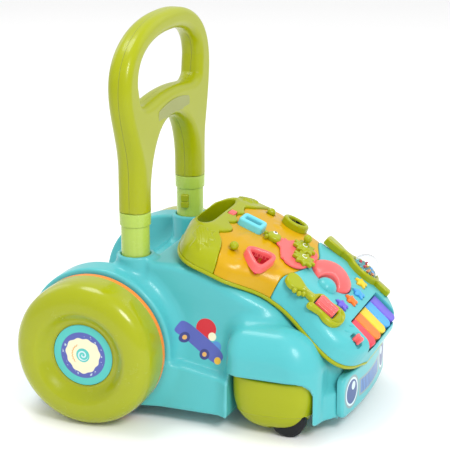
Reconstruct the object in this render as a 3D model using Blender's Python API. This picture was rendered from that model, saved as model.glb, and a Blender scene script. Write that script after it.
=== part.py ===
"""Push-along baby walker with a lift-off activity panel, as separate parts in metres.

+Z is up, the walker's front faces -Y and its width runs along X. The origin is on the floor, at the middle
of the outline. Parts that lie on the curved panel are placed by (x, run, height): run is the distance
along the panel's arc, counted downhill from the arc's top, and height is measured outward from its skin.
"""

import math

import bmesh
import bpy
import numpy as np
from mathutils import Matrix, Vector

GAP = 0.0003                # between parts that touch
WALL = 0.0028               # moulded wall

# Rear wheels and their drum-shaped fenders
REAR_RADIUS = 0.085
REAR_Y = 0.115
REAR_INNER_X = 0.1265       # inboard face of the wheel
REAR_WIDTH = 0.0505
HUB_RADIUS = 0.0365
HUB_X = 0.1645              # outboard face of the hub cap
WHEEL_STEPS = 32
AXLE_RADIUS = 0.004
AXLE_FIT = 0.0005
FENDER_RADIUS = 0.090
FENDER_X = 0.124
FENDER_WIDTH = 0.036

# Front wheels and pods
FRONT_RADIUS = 0.020
FRONT_WIDTH = 0.016
FRONT_X = 0.1100
FRONT_Y = -0.1125
PIN_RADIUS = 0.003
POD_Y = -0.0965
POD_LENGTH = 0.104
POD_TOP = 0.124
POD_X = 0.1345
POD_INNER_X = 0.0985
ARCH_TOP = 0.070
COWL_X = 0.104
COWL_TOP = 0.0655

# Base shell
BODY_FRONT = -0.160
BODY_REAR = 0.1985
SKIRT_BOTTOM = 0.0145
SKIRT_X = 0.1230
PLATE_THICK = 0.008

# Handle, its tubes and its sockets
LEG_X = 0.0833
LEG_Y = 0.084
TUBE_RADIUS = 0.0164
TUBE_WALL = 0.0026
TUBE_FIT = 0.0006
SOCKET_TOP = 0.1855
SOCKET_WALL = 0.0056
TUBE_BOTTOM = 0.040
COLLAR_BOTTOM = 0.2205
LEG_BOTTOM = 0.236
HANDLE_TOP = 0.452
HANDLE_HALF_WIDTH = 0.1235
HANDLE_HALF_DEPTH = 0.0165
LEG_HALF_WIDTH = 0.0165
LIFT = 0.055                # how far the handle telescopes up

# Activity panel: an arc in the YZ plane
PANEL_RADIUS = 0.460
PANEL_ARC_Y = 0.1358
PANEL_ARC_Z = -0.2232
PANEL_START = 0.098
PANEL_END = 0.379
GRIP_END = 0.160
MIDDLE_END = 0.250
PANEL_LIFT_RUN = 0.2409     # the panel lifts off square to its skin at this run
PANEL_DEPTH = 0.030
TRAY_DEPTH = 0.005
DECK_CLEARANCE = 0.0005


# ---------------------------------------------------------------- scene and materials

def clear_scene():
    for obj in list(bpy.data.objects):
        bpy.data.objects.remove(obj, do_unlink=True)


def new_collection(name):
    made = bpy.data.collections.new(name)
    bpy.context.scene.collection.children.link(made)
    return made


def plastic(name, colour, roughness=0.25, metallic=0.0):
    made = bpy.data.materials.new(name)
    made.use_nodes = True
    shader = made.node_tree.nodes["Principled BSDF"]
    shader.inputs["Base Color"].default_value = (*colour, 1.0)
    shader.inputs["Roughness"].default_value = roughness
    shader.inputs["Metallic"].default_value = metallic
    made.diffuse_color = (*colour, 1.0)
    return made


clear_scene()
PARTS = new_collection("baby_walker")
CUTTERS = new_collection("cutters")

TURQUOISE = plastic("turquoise", (0.12, 0.55, 0.60))
LIME = plastic("lime", (0.52, 0.58, 0.02))
PALE_LIME = plastic("pale_lime", (0.50, 0.66, 0.17))
YELLOW = plastic("yellow", (0.80, 0.52, 0.03))
ORANGE = plastic("orange", (0.95, 0.28, 0.03))
CORAL = plastic("coral", (0.95, 0.22, 0.22))
RED = plastic("red", (0.72, 0.05, 0.07))
BLUE = plastic("blue", (0.10, 0.38, 0.75))
SKY = plastic("sky", (0.18, 0.65, 0.70))
PURPLE = plastic("purple", (0.20, 0.18, 0.60))
BLACK = plastic("black", (0.01, 0.01, 0.01), 0.6)
STEEL = plastic("steel", (0.55, 0.56, 0.58), 0.3, 1.0)
OLIVE = plastic("badge_grey", (0.42, 0.43, 0.28), 0.4)
CLEAR = plastic("clear", (0.85, 0.88, 0.92), 0.05)
BOARD = plastic("board_green", (0.03, 0.22, 0.09), 0.5)


# ---------------------------------------------------------------- modelling helpers

def put(obj, material=None):
    """Files an object as a part when it has a material, or as a hidden cutter when it has none."""
    for owner in list(obj.users_collection):
        owner.objects.unlink(obj)
    if material is None:
        CUTTERS.objects.link(obj)
        obj.hide_render = True
        obj.display_type = "WIRE"
        return obj
    PARTS.objects.link(obj)
    obj.data.materials.clear()
    obj.data.materials.append(material)
    obj.data.shade_smooth()
    obj.data.set_sharp_from_angle(angle=math.radians(35))
    return obj


def from_bmesh(name, bm, material):
    bmesh.ops.recalc_face_normals(bm, faces=bm.faces)
    if bm.calc_volume(signed=True) < 0:
        bmesh.ops.reverse_faces(bm, faces=bm.faces)
    mesh = bpy.data.meshes.new(name)
    bm.to_mesh(mesh)
    bm.free()
    return put(bpy.data.objects.new(name, mesh), material)


def box(name, low, high, material=None, round_by=0.0, steps=2):
    bm = bmesh.new()
    low, high = Vector(low), Vector(high)
    bmesh.ops.create_cube(bm, size=1.0)
    for vert in bm.verts:
        vert.co = Vector(low[k] + (vert.co[k] + 0.5) * (high[k] - low[k]) for k in range(3))
    if round_by:
        bmesh.ops.bevel(bm, geom=bm.edges[:], offset=round_by, segments=steps, affect="EDGES", profile=0.5)
    return from_bmesh(name, bm, material)


TURN = {"X": Matrix.Rotation(math.pi / 2, 4, "Y"), "Y": Matrix.Rotation(-math.pi / 2, 4, "X"), "Z": Matrix()}


def cylinder(name, radius, low, high, axis, centre, material=None, sides=24):
    """A cylinder along X, Y or Z from low to high, its axis through the two other coordinates in centre."""
    bm = bmesh.new()
    bmesh.ops.create_cone(bm, cap_ends=True, segments=sides, radius1=radius, radius2=radius, depth=high - low)
    middle = list(centre)
    middle.insert("XYZ".index(axis), (low + high) / 2)
    bm.transform(Matrix.Translation(middle) @ TURN[axis])
    return from_bmesh(name, bm, material)


def boolean(obj, operation, *others):
    for other in others:
        modifier = obj.modifiers.new(operation.lower() + "_" + other.name, "BOOLEAN")
        modifier.operation = operation
        modifier.object = other
        modifier.solver = "EXACT"
    return obj


def cut(obj, *others):
    return boolean(obj, "DIFFERENCE", *others)


def join(obj, *others):
    return boolean(obj, "UNION", *others)


def turned(name, profile, axis_place, material, sign=1, steps=32):
    """A closed profile of (radius, along) points turned about the X line through axis_place (y, z)."""
    count = len(profile)
    angle = np.linspace(0, 2 * math.pi, steps, endpoint=False)
    radius = np.array([p[0] for p in profile])
    along = np.array([p[1] for p in profile]) * sign
    grid = np.empty((steps, count, 3))
    grid[..., 0] = along
    grid[..., 1] = axis_place[0] + radius * np.cos(angle)[:, None]
    grid[..., 2] = axis_place[1] + radius * np.sin(angle)[:, None]
    return loop_surface(name, grid, material)


def loop_surface(name, grid, material):
    """Quads over a grid that closes both ways, a ring of rings."""
    rings, count = grid.shape[:2]
    ring, point = np.meshgrid(np.arange(rings), np.arange(count), indexing="ij")
    ring_next, point_next = (ring + 1) % rings, (point + 1) % count
    corners = [ring * count + point, ring * count + point_next, ring_next * count + point_next,
               ring_next * count + point]
    faces = np.stack(corners, -1).reshape(-1, 4)
    mesh = bpy.data.meshes.new(name)
    mesh.from_pydata(grid.reshape(-1, 3).tolist(), [], faces.tolist())
    bm = bmesh.new()
    bm.from_mesh(mesh)
    bpy.data.meshes.remove(mesh)
    return from_bmesh(name, bm, material)


def loft(name, sections, material=None):
    """Closed sections of equal point count, skinned in order and capped at both ends."""
    sections = np.asarray(sections, float)
    rings, count = sections.shape[:2]
    bm = bmesh.new()
    rows = [[bm.verts.new(point) for point in section] for section in sections]
    for one, two in zip(rows, rows[1:]):
        for k in range(count):
            bm.faces.new((one[k], one[(k + 1) % count], two[(k + 1) % count], two[k]))
    bm.faces.new(rows[0])
    bm.faces.new(rows[-1])
    bmesh.ops.triangulate(bm, faces=bm.faces[:])
    return from_bmesh(name, bm, material)


def mirrored_ring(half):
    """A closed ring from the points of its right half, bottom centre to top centre."""
    left = [(-x, *rest) for x, *rest in half[-2:0:-1]]
    return list(half) + left


def plate(name, loops, low, high, place, material=None):
    """A flat outline with holes, a filled 2D curve, extruded from low to high along its own Z, then
    placed."""
    curve = bpy.data.curves.new(name, "CURVE")
    curve.dimensions = "2D"
    curve.fill_mode = "BOTH"
    curve.extrude = (high - low) / 2
    for loop in loops:
        spline = curve.splines.new("POLY")
        spline.points.add(len(loop) - 1)
        for point, (x, y) in zip(spline.points, loop):
            point.co = (x, y, 0.0, 1.0)
        spline.use_cyclic_u = True
    guide = bpy.data.objects.new(name + "_curve", curve)
    bpy.context.scene.collection.objects.link(guide)
    mesh = bpy.data.meshes.new_from_object(guide.evaluated_get(bpy.context.evaluated_depsgraph_get()))
    bpy.data.objects.remove(guide)
    bm = bmesh.new()
    bm.from_mesh(mesh)
    bpy.data.meshes.remove(mesh)
    bmesh.ops.remove_doubles(bm, verts=bm.verts, dist=1e-6)
    bm.transform(place @ Matrix.Translation((0, 0, (low + high) / 2)))
    return from_bmesh(name, bm, material)


def circle(radius, centre=(0.0, 0.0), count=24, start=0.0):
    angle = start + np.linspace(0, 2 * math.pi, count, endpoint=False)
    return [(centre[0] + radius * math.cos(a), centre[1] + radius * math.sin(a)) for a in angle]


def rounded_polygon(corners, radius, steps=4):
    """A convex polygon, anticlockwise, with each corner replaced by an arc."""
    outline = []
    count = len(corners)
    for k in range(count):
        here = Vector(corners[k])
        back = (Vector(corners[k - 1]) - here).normalized()
        ahead = (Vector(corners[(k + 1) % count]) - here).normalized()
        half = back.angle(ahead) / 2
        centre = here + (back + ahead).normalized() * (radius / math.sin(half))
        first = here + back * (radius / math.tan(half)) - centre
        sweep = math.pi - 2 * half
        for step in range(steps + 1):
            turned_by = Matrix.Rotation(sweep * step / steps, 2)
            outline.append(tuple(centre + turned_by @ first))
    return outline


def rectangle(half_x, half_y, radius, centre=(0.0, 0.0), steps=4):
    x, y = centre
    corners = [(x - half_x, y - half_y), (x + half_x, y - half_y), (x + half_x, y + half_y),
               (x - half_x, y + half_y)]
    return rounded_polygon(corners, radius, steps)


def wavy_circle(radius, wave, lobes, count, start=0.0):
    """A circle whose radius swings by wave, lobes times round."""
    angle = np.linspace(0, 2 * math.pi, count, endpoint=False)
    return [((radius + wave * math.cos(lobes * a)) * math.cos(a + start),
             (radius + wave * math.cos(lobes * a)) * math.sin(a + start)) for a in angle]


def side_name(sign):
    return "left" if sign < 0 else "right"


# ---------------------------------------------------------------- panel coordinates

def panel_point(x, run, height):
    angle = run / PANEL_RADIUS
    reach = PANEL_RADIUS + height
    return (x, PANEL_ARC_Y - reach * math.sin(angle), PANEL_ARC_Z + reach * math.cos(angle))


def panel_place(x, run, height=0.0, turn=0.0):
    """The frame of a spot on the panel: Z outward, Y uphill, X to the walker's right."""
    tilt = Matrix.Rotation(run / PANEL_RADIUS, 4, "X")
    return Matrix.Translation(panel_point(x, run, height)) @ tilt @ Matrix.Rotation(turn, 4, "Z")


def arc_height(y, reach):
    return PANEL_ARC_Z + math.sqrt(reach ** 2 - (y - PANEL_ARC_Y) ** 2)


def smooth_step(value, low, high):
    share = min(max((value - low) / (high - low), 0.0), 1.0)
    return share * share * (3 - 2 * share)


PANEL_SHOULDER = 0.102      # half width of the rim beside the grip
PANEL_WAIST = 0.080
PANEL_HIP = 0.096
SIDE_DRAFT = 0.009          # how far the top stands in from the rim
END_ROUND = 0.052


def rim_half_width(run):
    """Shoulder, waist and hip joined by smooth steps, with superelliptic ends."""
    waist = smooth_step(run, 0.175, 0.240)
    hip = smooth_step(run, 0.252, 0.325)
    width = PANEL_SHOULDER + (PANEL_WAIST - PANEL_SHOULDER) * waist + (PANEL_HIP - PANEL_WAIST) * hip
    for end in (PANEL_START + END_ROUND - run, run - PANEL_END + END_ROUND):
        if end > 0:
            width *= max(1 - (min(end / END_ROUND, 0.97)) ** 2.4, 0.0) ** (1 / 2.4)
    return width


def panel_section(run, inset, low, high):
    """One cross section of the panel's upper shells, from rim height to the skin, shrunk by inset."""
    rim = max(rim_half_width(run) - inset, 0.004)
    draft = min(SIDE_DRAFT, rim * 0.5)
    top = rim - draft
    knee = 0.006
    half = [(0.0, low), (rim, low), (top + draft * 0.35, high - 0.011),
            (top + draft * 0.12, high - knee * 0.6),
            (top - knee, high), (0.0, high)]
    return [panel_point(x, run, height) for x, height in mirrored_ring(half)]


def runs_between(start, end, step=0.0125):
    """Stations along the panel, closer together in its rounded ends."""
    found = {start, end}
    found.update(np.linspace(start, end, max(2, round((end - start) / step) + 1)).tolist())
    for end_run, way in ((PANEL_START, 1), (PANEL_END, -1)):
        for depth in (0.0015, 0.004, 0.008, 0.014, 0.022):
            spot = end_run + way * depth
            if start < spot < end:
                found.add(spot)
    ordered = sorted(found)
    kept = [ordered[0]]
    for spot in ordered[1:]:
        if spot - kept[-1] > 0.0012:
            kept.append(spot)
    kept[-1] = end
    return kept


def panel_shell(name, start, end, material):
    """A casing along part of the panel: open below, and open to its neighbour where they meet."""
    sections = [panel_section(run, 0.0, -PANEL_DEPTH, 0.0) for run in runs_between(start, end)]
    shell = loft(name, sections, material)
    first = start + WALL if start <= PANEL_START else start - 0.002
    last = end - WALL if end >= PANEL_END else end + 0.002
    hollow = [panel_section(run, WALL, -PANEL_DEPTH - 0.004, -WALL) for run in runs_between(first, last)]
    return cut(shell, loft(name + "_hollow", hollow))


# ---------------------------------------------------------------- base shell

DECK_REACH = PANEL_RADIUS - PANEL_DEPTH - TRAY_DEPTH - DECK_CLEARANCE
DECK_FLAT = 0.178
TROUGH_TOP = 0.150
TROUGH_Y = 0.062


def deck_height(y):
    if y > TROUGH_Y:
        return TROUGH_TOP - 0.8 * max(y - 0.105, 0.0)
    return min(arc_height(y, DECK_REACH), DECK_FLAT + 0.0035)


def body_half_widths(y):
    """Half widths at the skirt and at the deck."""
    nose = smooth_step(y, BODY_FRONT, -0.110)
    skirt = 0.088 + (SKIRT_X - 0.088) * smooth_step(y, -0.120, -0.050)
    deck = 0.084 + 0.022 * smooth_step(y, -0.105, -0.020) - 0.008 * (1 - nose)
    return skirt, deck


def body_section(y, inset, bottom, drop):
    skirt, deck = body_half_widths(y)
    top = deck_height(y) - drop
    ledge = min(0.060 + 0.17 * max(y + 0.045, 0.0), 0.074, top - 0.02)
    half = [(0.0, bottom), (skirt - inset, bottom), (skirt - inset, ledge - drop),
            (skirt - 0.010 - inset, ledge + 0.006 - drop),
            ((skirt + deck) / 2 - 0.007 - inset, ledge + (top - ledge) * 0.45),
            (deck - inset, top - 0.016), (deck - 0.012 - inset, top), (0.0, top)]
    return [(x, y, z) for x, z in mirrored_ring(half)]


def body_block(name, inset, bottom):
    stations = [BODY_FRONT, -0.150, -0.125, -0.100, -0.075, -0.045, -0.015, 0.015, 0.040, TROUGH_Y - 0.001,
                TROUGH_Y + 0.001, 0.090, 0.120, 0.150, 0.180, BODY_REAR]
    stations[0] += inset
    stations[-1] -= inset
    return loft(name, [body_section(y, inset, bottom, inset) for y in stations])


def fender(name, sign, inset):
    outer = FENDER_X - inset
    inner = FENDER_X - FENDER_WIDTH + inset
    low, high = sorted((sign * outer, sign * inner))
    return cylinder(name, FENDER_RADIUS - inset, low, high, "X", (REAR_Y, REAR_RADIUS), sides=40)


def pod(name, sign, inset):
    low_x, high_x = sorted((sign * (POD_INNER_X - 2 * inset), sign * (POD_X - inset)))
    half = POD_LENGTH / 2 - inset
    return box(name, (low_x, POD_Y - half, -0.05), (high_x, POD_Y + half, POD_TOP - inset), None, 0.017, 4)


def base_body():
    body = body_block("base_outer", 0.0, -0.01)
    body.name = "base_body"
    put(body, TURQUOISE)
    body.hide_render = False
    body.display_type = "TEXTURED"
    hollow = body_block("base_hollow", WALL, -0.02)
    underneath = box("floor_level", (-0.3, -0.3, -0.2), (0.3, 0.3, SKIRT_BOTTOM))
    for sign in (-1, 1):
        tag = side_name(sign)
        join(body, fender("fender_" + tag, sign, 0.0), pod("pod_" + tag, sign, 0.0))
        centre = (sign * LEG_X, LEG_Y)
        join(body, cylinder("socket_" + tag, TUBE_RADIUS + SOCKET_WALL, 0.120, SOCKET_TOP, "Z", centre,
                            sides=28))
    cut(body, underneath, hollow)
    for sign in (-1, 1):
        tag = side_name(sign)
        cut(body, fender("fender_hollow_" + tag, sign, WALL), pod("pod_hollow_" + tag, sign, WALL))
        low_x, high_x = sorted((sign * 0.076, sign * 0.180))
        arch_half = POD_LENGTH / 2 - 0.0065
        cut(body, box("arch_" + tag, (low_x, POD_Y - arch_half, -0.06), (high_x, POD_Y + arch_half, ARCH_TOP),
                      None, 0.007, 2))
        cut(body, cylinder("axle_hole_" + tag, AXLE_RADIUS + AXLE_FIT, *sorted((sign * 0.05, sign * 0.15)),
                           "X", (REAR_Y, REAR_RADIUS), sides=16))
    for sign in (-1, 1):
        tag = side_name(sign)
        centre = (sign * LEG_X, LEG_Y)
        join(body, cylinder("sleeve_" + tag, TUBE_RADIUS + SOCKET_WALL - 0.002, TUBE_BOTTOM - 0.004, 0.170,
                            "Z", centre, sides=28))
        cut(body, cylinder("tube_bore_" + tag, TUBE_RADIUS + TUBE_FIT, TUBE_BOTTOM, 0.30, "Z", centre,
                           sides=28))
    return body


def base_floor():
    """A flat plate that closes the shell from below, narrow between the pods, cut clear of the tube
    sleeves."""
    low = SKIRT_BOTTOM + 0.001
    high = low + 0.0026
    wide, narrow = SKIRT_X - 0.007, 0.073
    step = POD_Y + POD_LENGTH / 2 + 0.001
    stations = [(BODY_FRONT + 0.005, narrow), (step, narrow), (step + 0.001, wide), (BODY_REAR - 0.007, wide)]
    sections = [[(-half, y, low), (half, y, low), (half, y, high), (-half, y, high)] for y, half in stations]
    floor = loft("base_floor", sections, TURQUOISE)
    for sign in (-1, 1):
        cut(floor, cylinder("sleeve_room_" + side_name(sign), 0.0235, -0.05, 0.25, "Z",
                            (sign * LEG_X, LEG_Y)))
    return floor


def front_plate():
    """The bowed plate on the nose: an outline in XZ swept between the nose and a shallow bow."""
    half = 0.085
    columns = np.linspace(-half, half, 13)
    bow = 0.007 * (1 - (columns / half) ** 2)
    sections = []
    for x, swell in zip(columns, bow):
        edge = 0.004 * (abs(x) / half) ** 6
        back = BODY_FRONT - GAP
        front = back - PLATE_THICK - swell + edge
        low, high = 0.0165 + edge, 0.0640 - edge
        sections.append([(x, back, low), (x, front + 0.003, low), (x, front, low + 0.003),
                         (x, front, high - 0.003), (x, front + 0.003, high), (x, back, high)])
    return loft("front_plate", sections, TURQUOISE)


# ---------------------------------------------------------------- wheels

def rear_wheel(sign):
    tag = side_name(sign)
    place = (REAR_Y, REAR_RADIUS)
    tyre_x = REAR_INNER_X + 0.0275
    ring_radius = 0.68 * REAR_RADIUS
    bulge = REAR_RADIUS - ring_radius
    crest = REAR_INNER_X + REAR_WIDTH
    back = REAR_INNER_X + 0.0068 + GAP
    arc = np.linspace(0, math.pi, 8)
    skin = [(ring_radius + bulge * math.cos(a), tyre_x + (crest - tyre_x) * math.sin(a)) for a in arc]
    skin = [point for point in skin if point[0] > HUB_RADIUS + 0.001]
    seat = HUB_X - 0.0022
    bore = AXLE_RADIUS + AXLE_FIT
    lip = HUB_RADIUS + GAP
    outside = [(REAR_RADIUS, back)] + skin + [(lip, HUB_X - 0.0004), (lip, seat), (bore, seat)]
    inside = [(bore, back), (0.011, back), (0.011, seat - WALL), (HUB_RADIUS - 0.002, seat - WALL)]
    inside += [(ring_radius + (r - ring_radius) * 0.87, x - WALL) for r, x in reversed(skin)]
    inside += [(REAR_RADIUS - WALL, back)]
    turned("rear_wheel_" + tag, outside + inside, place, LIME, sign, WHEEL_STEPS)
    rim_back = REAR_INNER_X
    rim = [(bore, rim_back), (REAR_RADIUS - 0.0005, rim_back), (REAR_RADIUS - 0.0005, rim_back + 0.0068),
           (REAR_RADIUS - 0.004, rim_back + 0.0068), (REAR_RADIUS - 0.006, rim_back + WALL),
           (bore, rim_back + WALL)]
    turned("rear_rim_" + tag, rim, place, ORANGE, sign, WHEEL_STEPS)
    low, high = sorted((sign * (seat + GAP), sign * HUB_X))
    cylinder("hub_cap_" + tag, HUB_RADIUS - GAP, low, high, "X", place, SKY, WHEEL_STEPS)


def rear_axle():
    reach = HUB_X - 0.0022 - GAP
    return cylinder("rear_axle", AXLE_RADIUS, -reach, reach, "X", (REAR_Y, REAR_RADIUS), STEEL, 16)


def front_wheel(sign):
    tag = side_name(sign)
    place = (FRONT_Y, FRONT_RADIUS)
    half = FRONT_WIDTH / 2
    bore = PIN_RADIUS + 0.0004
    soft = 0.0025
    profile = [(bore, FRONT_X - half), (FRONT_RADIUS - soft, FRONT_X - half),
               (FRONT_RADIUS, FRONT_X - half + soft),
               (FRONT_RADIUS, FRONT_X + half - soft), (FRONT_RADIUS - soft, FRONT_X + half),
               (bore, FRONT_X + half)]
    turned("front_wheel_" + tag, profile, place, BLACK, sign, 28)
    low, high = sorted((sign * (FRONT_X - 0.014), sign * (FRONT_X + 0.014)))
    cylinder("front_axle_" + tag, PIN_RADIUS, low, high, "X", place, STEEL, 12)


def ball_at(name, radius, place, material=None, around=20, rings=12):
    bm = bmesh.new()
    bmesh.ops.create_uvsphere(bm, u_segments=around, v_segments=rings, radius=radius)
    bm.transform(place)
    return from_bmesh(name, bm, material)


def ellipsoid(name, centre, size, material=None):
    return ball_at(name, 1.0, Matrix.Translation(centre) @ Matrix.Diagonal((*size, 1.0)), material)


def wheel_cowl(sign):
    """A bowl over the front wheel, open above, with a slot for the wheel and holes for its pin."""
    tag = side_name(sign)
    centre = (sign * COWL_X, POD_Y, 0.060)
    size = (0.0265, POD_LENGTH / 2 - 0.0078, 0.0475)
    cowl = ellipsoid("wheel_cowl_" + tag, centre, size, LIME)
    cut(cowl, ellipsoid("cowl_hollow_" + tag, centre, [half - WALL for half in size]))
    reach = 0.08
    low = (sign * COWL_X - reach, POD_Y - reach, COWL_TOP)
    cut(cowl, box("cowl_open_" + tag, low, (sign * COWL_X + reach, POD_Y + reach, COWL_TOP + reach)))
    room = FRONT_RADIUS + 0.0035
    half = FRONT_WIDTH / 2 + 0.0015
    low, high = sorted((sign * (FRONT_X - half), sign * (FRONT_X + half)))
    cut(cowl, cylinder("wheel_room_" + tag, room, low, high, "X", (FRONT_Y, FRONT_RADIUS), sides=28))
    low, high = sorted((sign * 0.06, sign * 0.16))
    cut(cowl, cylinder("pin_hole_" + tag, PIN_RADIUS + 0.0004, low, high, "X", (FRONT_Y, FRONT_RADIUS),
                       sides=12))
    return cowl


# ---------------------------------------------------------------- handle

LOOP_CENTRE = 0.375
LOOP_POWER = 2.3
ARCH_TOP_Z = 0.328
BRIDGE_TOP = 0.3615
HOLE_HALF = 0.0905
HOLE_TOP = 0.428


def power_curve(half_width, half_height, centre, start, end, power, count):
    angle = np.linspace(start, end, count)
    cos, sin = np.cos(angle), np.sin(angle)
    x = half_width * np.sign(cos) * np.abs(cos) ** (2 / power)
    z = centre + half_height * np.sign(sin) * np.abs(sin) ** (2 / power)
    return list(zip(x.tolist(), z.tolist()))


def handle_outlines(inset, bottom):
    """The handle's outer outline, legs and all, and the outline of its upper hole, both drawn in XZ."""
    half = HANDLE_HALF_WIDTH - inset
    leg_out = LEG_X + LEG_HALF_WIDTH - inset
    leg_in = LEG_X - LEG_HALF_WIDTH + inset
    top = power_curve(half, HANDLE_TOP - LOOP_CENTRE - inset, LOOP_CENTRE, 0.0, math.pi, LOOP_POWER, 25)
    flare = []
    for step in range(1, 6):
        share = step / 6
        z = LOOP_CENTRE + (0.280 - LOOP_CENTRE) * share
        flare.append((half + (leg_out - half) * smooth_step(share, 0, 1), z))
    right_in = power_curve(leg_in, ARCH_TOP_Z + inset - 0.250, 0.250, 0.0, math.pi, 2.2, 17)
    left = [(-x, z) for x, z in flare]
    outer = top + left + [(-leg_out, 0.280), (-leg_out, bottom), (-leg_in, bottom)]
    outer += list(reversed(right_in)) + [(leg_in, bottom), (leg_out, bottom), (leg_out, 0.280)]
    outer += list(reversed(flare))
    hole_half = HOLE_HALF + inset
    hole_top = HOLE_TOP + inset
    crown = power_curve(hole_half, hole_top - 0.383, 0.383, 0.0, math.pi, 2.3, 17)
    bridge = BRIDGE_TOP - inset
    sill = []
    for step in range(1, 10):
        x = hole_half * (-1 + 2 * step / 10)
        corner = 0.018 * (abs(x) / hole_half) ** 8
        sill.append((x, bridge - 0.0095 * (x / 0.08) ** 2 + corner))
    return outer, crown + sill


def handle_shell(name, near, far, open_behind):
    """One half of the handle, a casing that is open at the parting plane. near and far are its Y limits."""
    upright = Matrix.Rotation(math.pi / 2, 4, "X")
    outer, hole = handle_outlines(0.0, LEG_BOTTOM)
    shell = plate(name, [outer, hole], -far, -near, upright, LIME)
    inner, inner_hole = handle_outlines(WALL, LEG_BOTTOM + WALL)
    low, high = (-far - 0.001, -near - WALL) if open_behind else (-far + WALL, -near + 0.001)
    cut(shell, plate(name + "_hollow", [inner, inner_hole], low, high, upright))
    for sign in (-1, 1):
        cut(shell, cylinder(name + "_rod_room_" + side_name(sign), ROD_RADIUS + 0.0008, 0.20, 0.275, "Z",
                            (sign * LEG_X, LEG_Y), sides=24))
    return shell


ROD_RADIUS = TUBE_RADIUS - TUBE_WALL - 0.0006
ROD_BOTTOM = 0.085
ROD_TOP = 0.272
BUTTON_Z = 0.205
BUTTON_HALF_HEIGHT = 0.0085
BUTTON_HALF_WIDTH = 0.0048
BUTTON_PROUD = 0.0040


def handle_badge():
    """A curved inlay on the bridge, between two arcs."""
    upright = Matrix.Rotation(math.pi / 2, 4, "X")
    half = 0.046
    across = np.linspace(-half, half, 13)
    top = [(x, 0.3490 - x * x / 0.36) for x in across[::-1]]
    bottom = [(x, 0.3335 - x * x / 0.36) for x in across]
    front = LEG_Y - HANDLE_HALF_DEPTH
    return plate("handle_badge", [bottom + top], -front + GAP, -front + 0.0008, upright, OLIVE)


def handle_tube(sign):
    tag = side_name(sign)
    centre = (sign * LEG_X, LEG_Y)
    tube = cylinder("tube_" + tag, TUBE_RADIUS, TUBE_BOTTOM + 0.001, LEG_BOTTOM - GAP, "Z", centre,
                    PALE_LIME, 28)
    inside = TUBE_RADIUS - TUBE_WALL
    cut(tube, cylinder("tube_inside_" + tag, inside, TUBE_BOTTOM + 0.004, 0.30, "Z", centre, sides=24))
    inner_face = LEG_X - TUBE_RADIUS
    low, high = sorted((sign * (inner_face - 0.006), sign * LEG_X))
    room = 0.0006
    cut(tube, box("button_room_" + tag, (low, LEG_Y - BUTTON_HALF_WIDTH - room,
                                         BUTTON_Z - BUTTON_HALF_HEIGHT - room),
                  (high, LEG_Y + BUTTON_HALF_WIDTH + room, BUTTON_Z + BUTTON_HALF_HEIGHT + room)))
    outside = TUBE_RADIUS + 0.0018
    collar = cylinder("collar_" + tag, outside, COLLAR_BOTTOM, LEG_BOTTOM - GAP, "Z", centre, PALE_LIME, 28)
    cut(collar, cylinder("collar_inside_" + tag, TUBE_RADIUS + GAP, 0.20, 0.26, "Z", centre, sides=28))
    button_low, button_high = sorted((sign * (inner_face - BUTTON_PROUD), sign * (inner_face + 0.0030)))
    box("latch_button_" + tag, (button_low, LEG_Y - BUTTON_HALF_WIDTH, BUTTON_Z - BUTTON_HALF_HEIGHT),
        (button_high, LEG_Y + BUTTON_HALF_WIDTH, BUTTON_Z + BUTTON_HALF_HEIGHT), LIME, 0.0012, 2)
    rod = cylinder("handle_rod_" + tag, ROD_RADIUS, ROD_BOTTOM, ROD_TOP, "Z", centre, STEEL, 20)
    low, high = sorted((sign * (LEG_X - ROD_RADIUS - 0.002), sign * (LEG_X - ROD_RADIUS + 0.0065)))
    cut(rod, box("keyway_" + tag, (low, LEG_Y - 0.0065, 0.0), (high, LEG_Y + 0.0065, ROD_TOP - 0.012)))


# ---------------------------------------------------------------- activity panel

KEY_COLOURS = [("red", RED), ("orange", ORANGE), ("yellow", YELLOW), ("blue", BLUE), ("purple", PURPLE)]
KEY_PITCH = 0.0204
KEY_START = 0.3302
KEY_END = 0.3665
KEY_DROP = 0.0045           # the keys' tops lie this far below the skin
KEY_THICK = 0.008
STARS = [("purple", PURPLE, -0.040, 0.309), ("orange", ORANGE, -0.0145, 0.3135),
         ("blue", BLUE, 0.0115, 0.3145),
         ("yellow", YELLOW, 0.0370, 0.3085)]
STAR_RADIUS = 0.0070
STAR_WAVE = 0.0018
DOTS = [("left", -0.072, 0.1725), ("right", 0.0600, 0.1705)]
DOT_RADIUS = 0.0052
DRUM = (0.0, 0.2785)
DRUM_RADIUS = 0.0265
BITE = (-0.0280, -0.0035)
BITE_RADIUS = 0.0150
ROLLER = (-0.0690, 0.2975)
ROLLER_RADIUS = 0.0080
ROLLER_HALF = 0.0125
SHAKER = (0.0730, 0.3000)
SHAKER_RADIUS = 0.0200
GEAR_RADIUS = 0.0125
GEAR_WAVE = 0.0022
GEAR_TEETH = 9
GEAR_UPPER = (0.0060, 0.2330)
GEAR_LEAN = 2.8023
GEAR_APART = 2 * GEAR_RADIUS + 0.00204
GEAR_LOWER = (GEAR_UPPER[0] + GEAR_APART * math.cos(GEAR_LEAN),
              GEAR_UPPER[1] + GEAR_APART * math.sin(GEAR_LEAN))
GEARS = [("upper", *GEAR_UPPER), ("lower", *GEAR_LOWER)]
CRANK_REACH = 0.0065
CRANK_TURN = 0.4
SWITCH = (-0.0675, 0.3480)
DOOR = (0.0, 0.2050)
DOOR_SIZE = (0.0300, 0.0210)
HOOK = (0.0050, 0.1390)
HOOK_SIZE = (0.0065, 0.0040)
SORTER_HOLES = [("square", (-0.0040, 0.1680)), ("triangle", (-0.0700, 0.2050)), ("round", (0.0600, 0.2030))]


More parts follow.
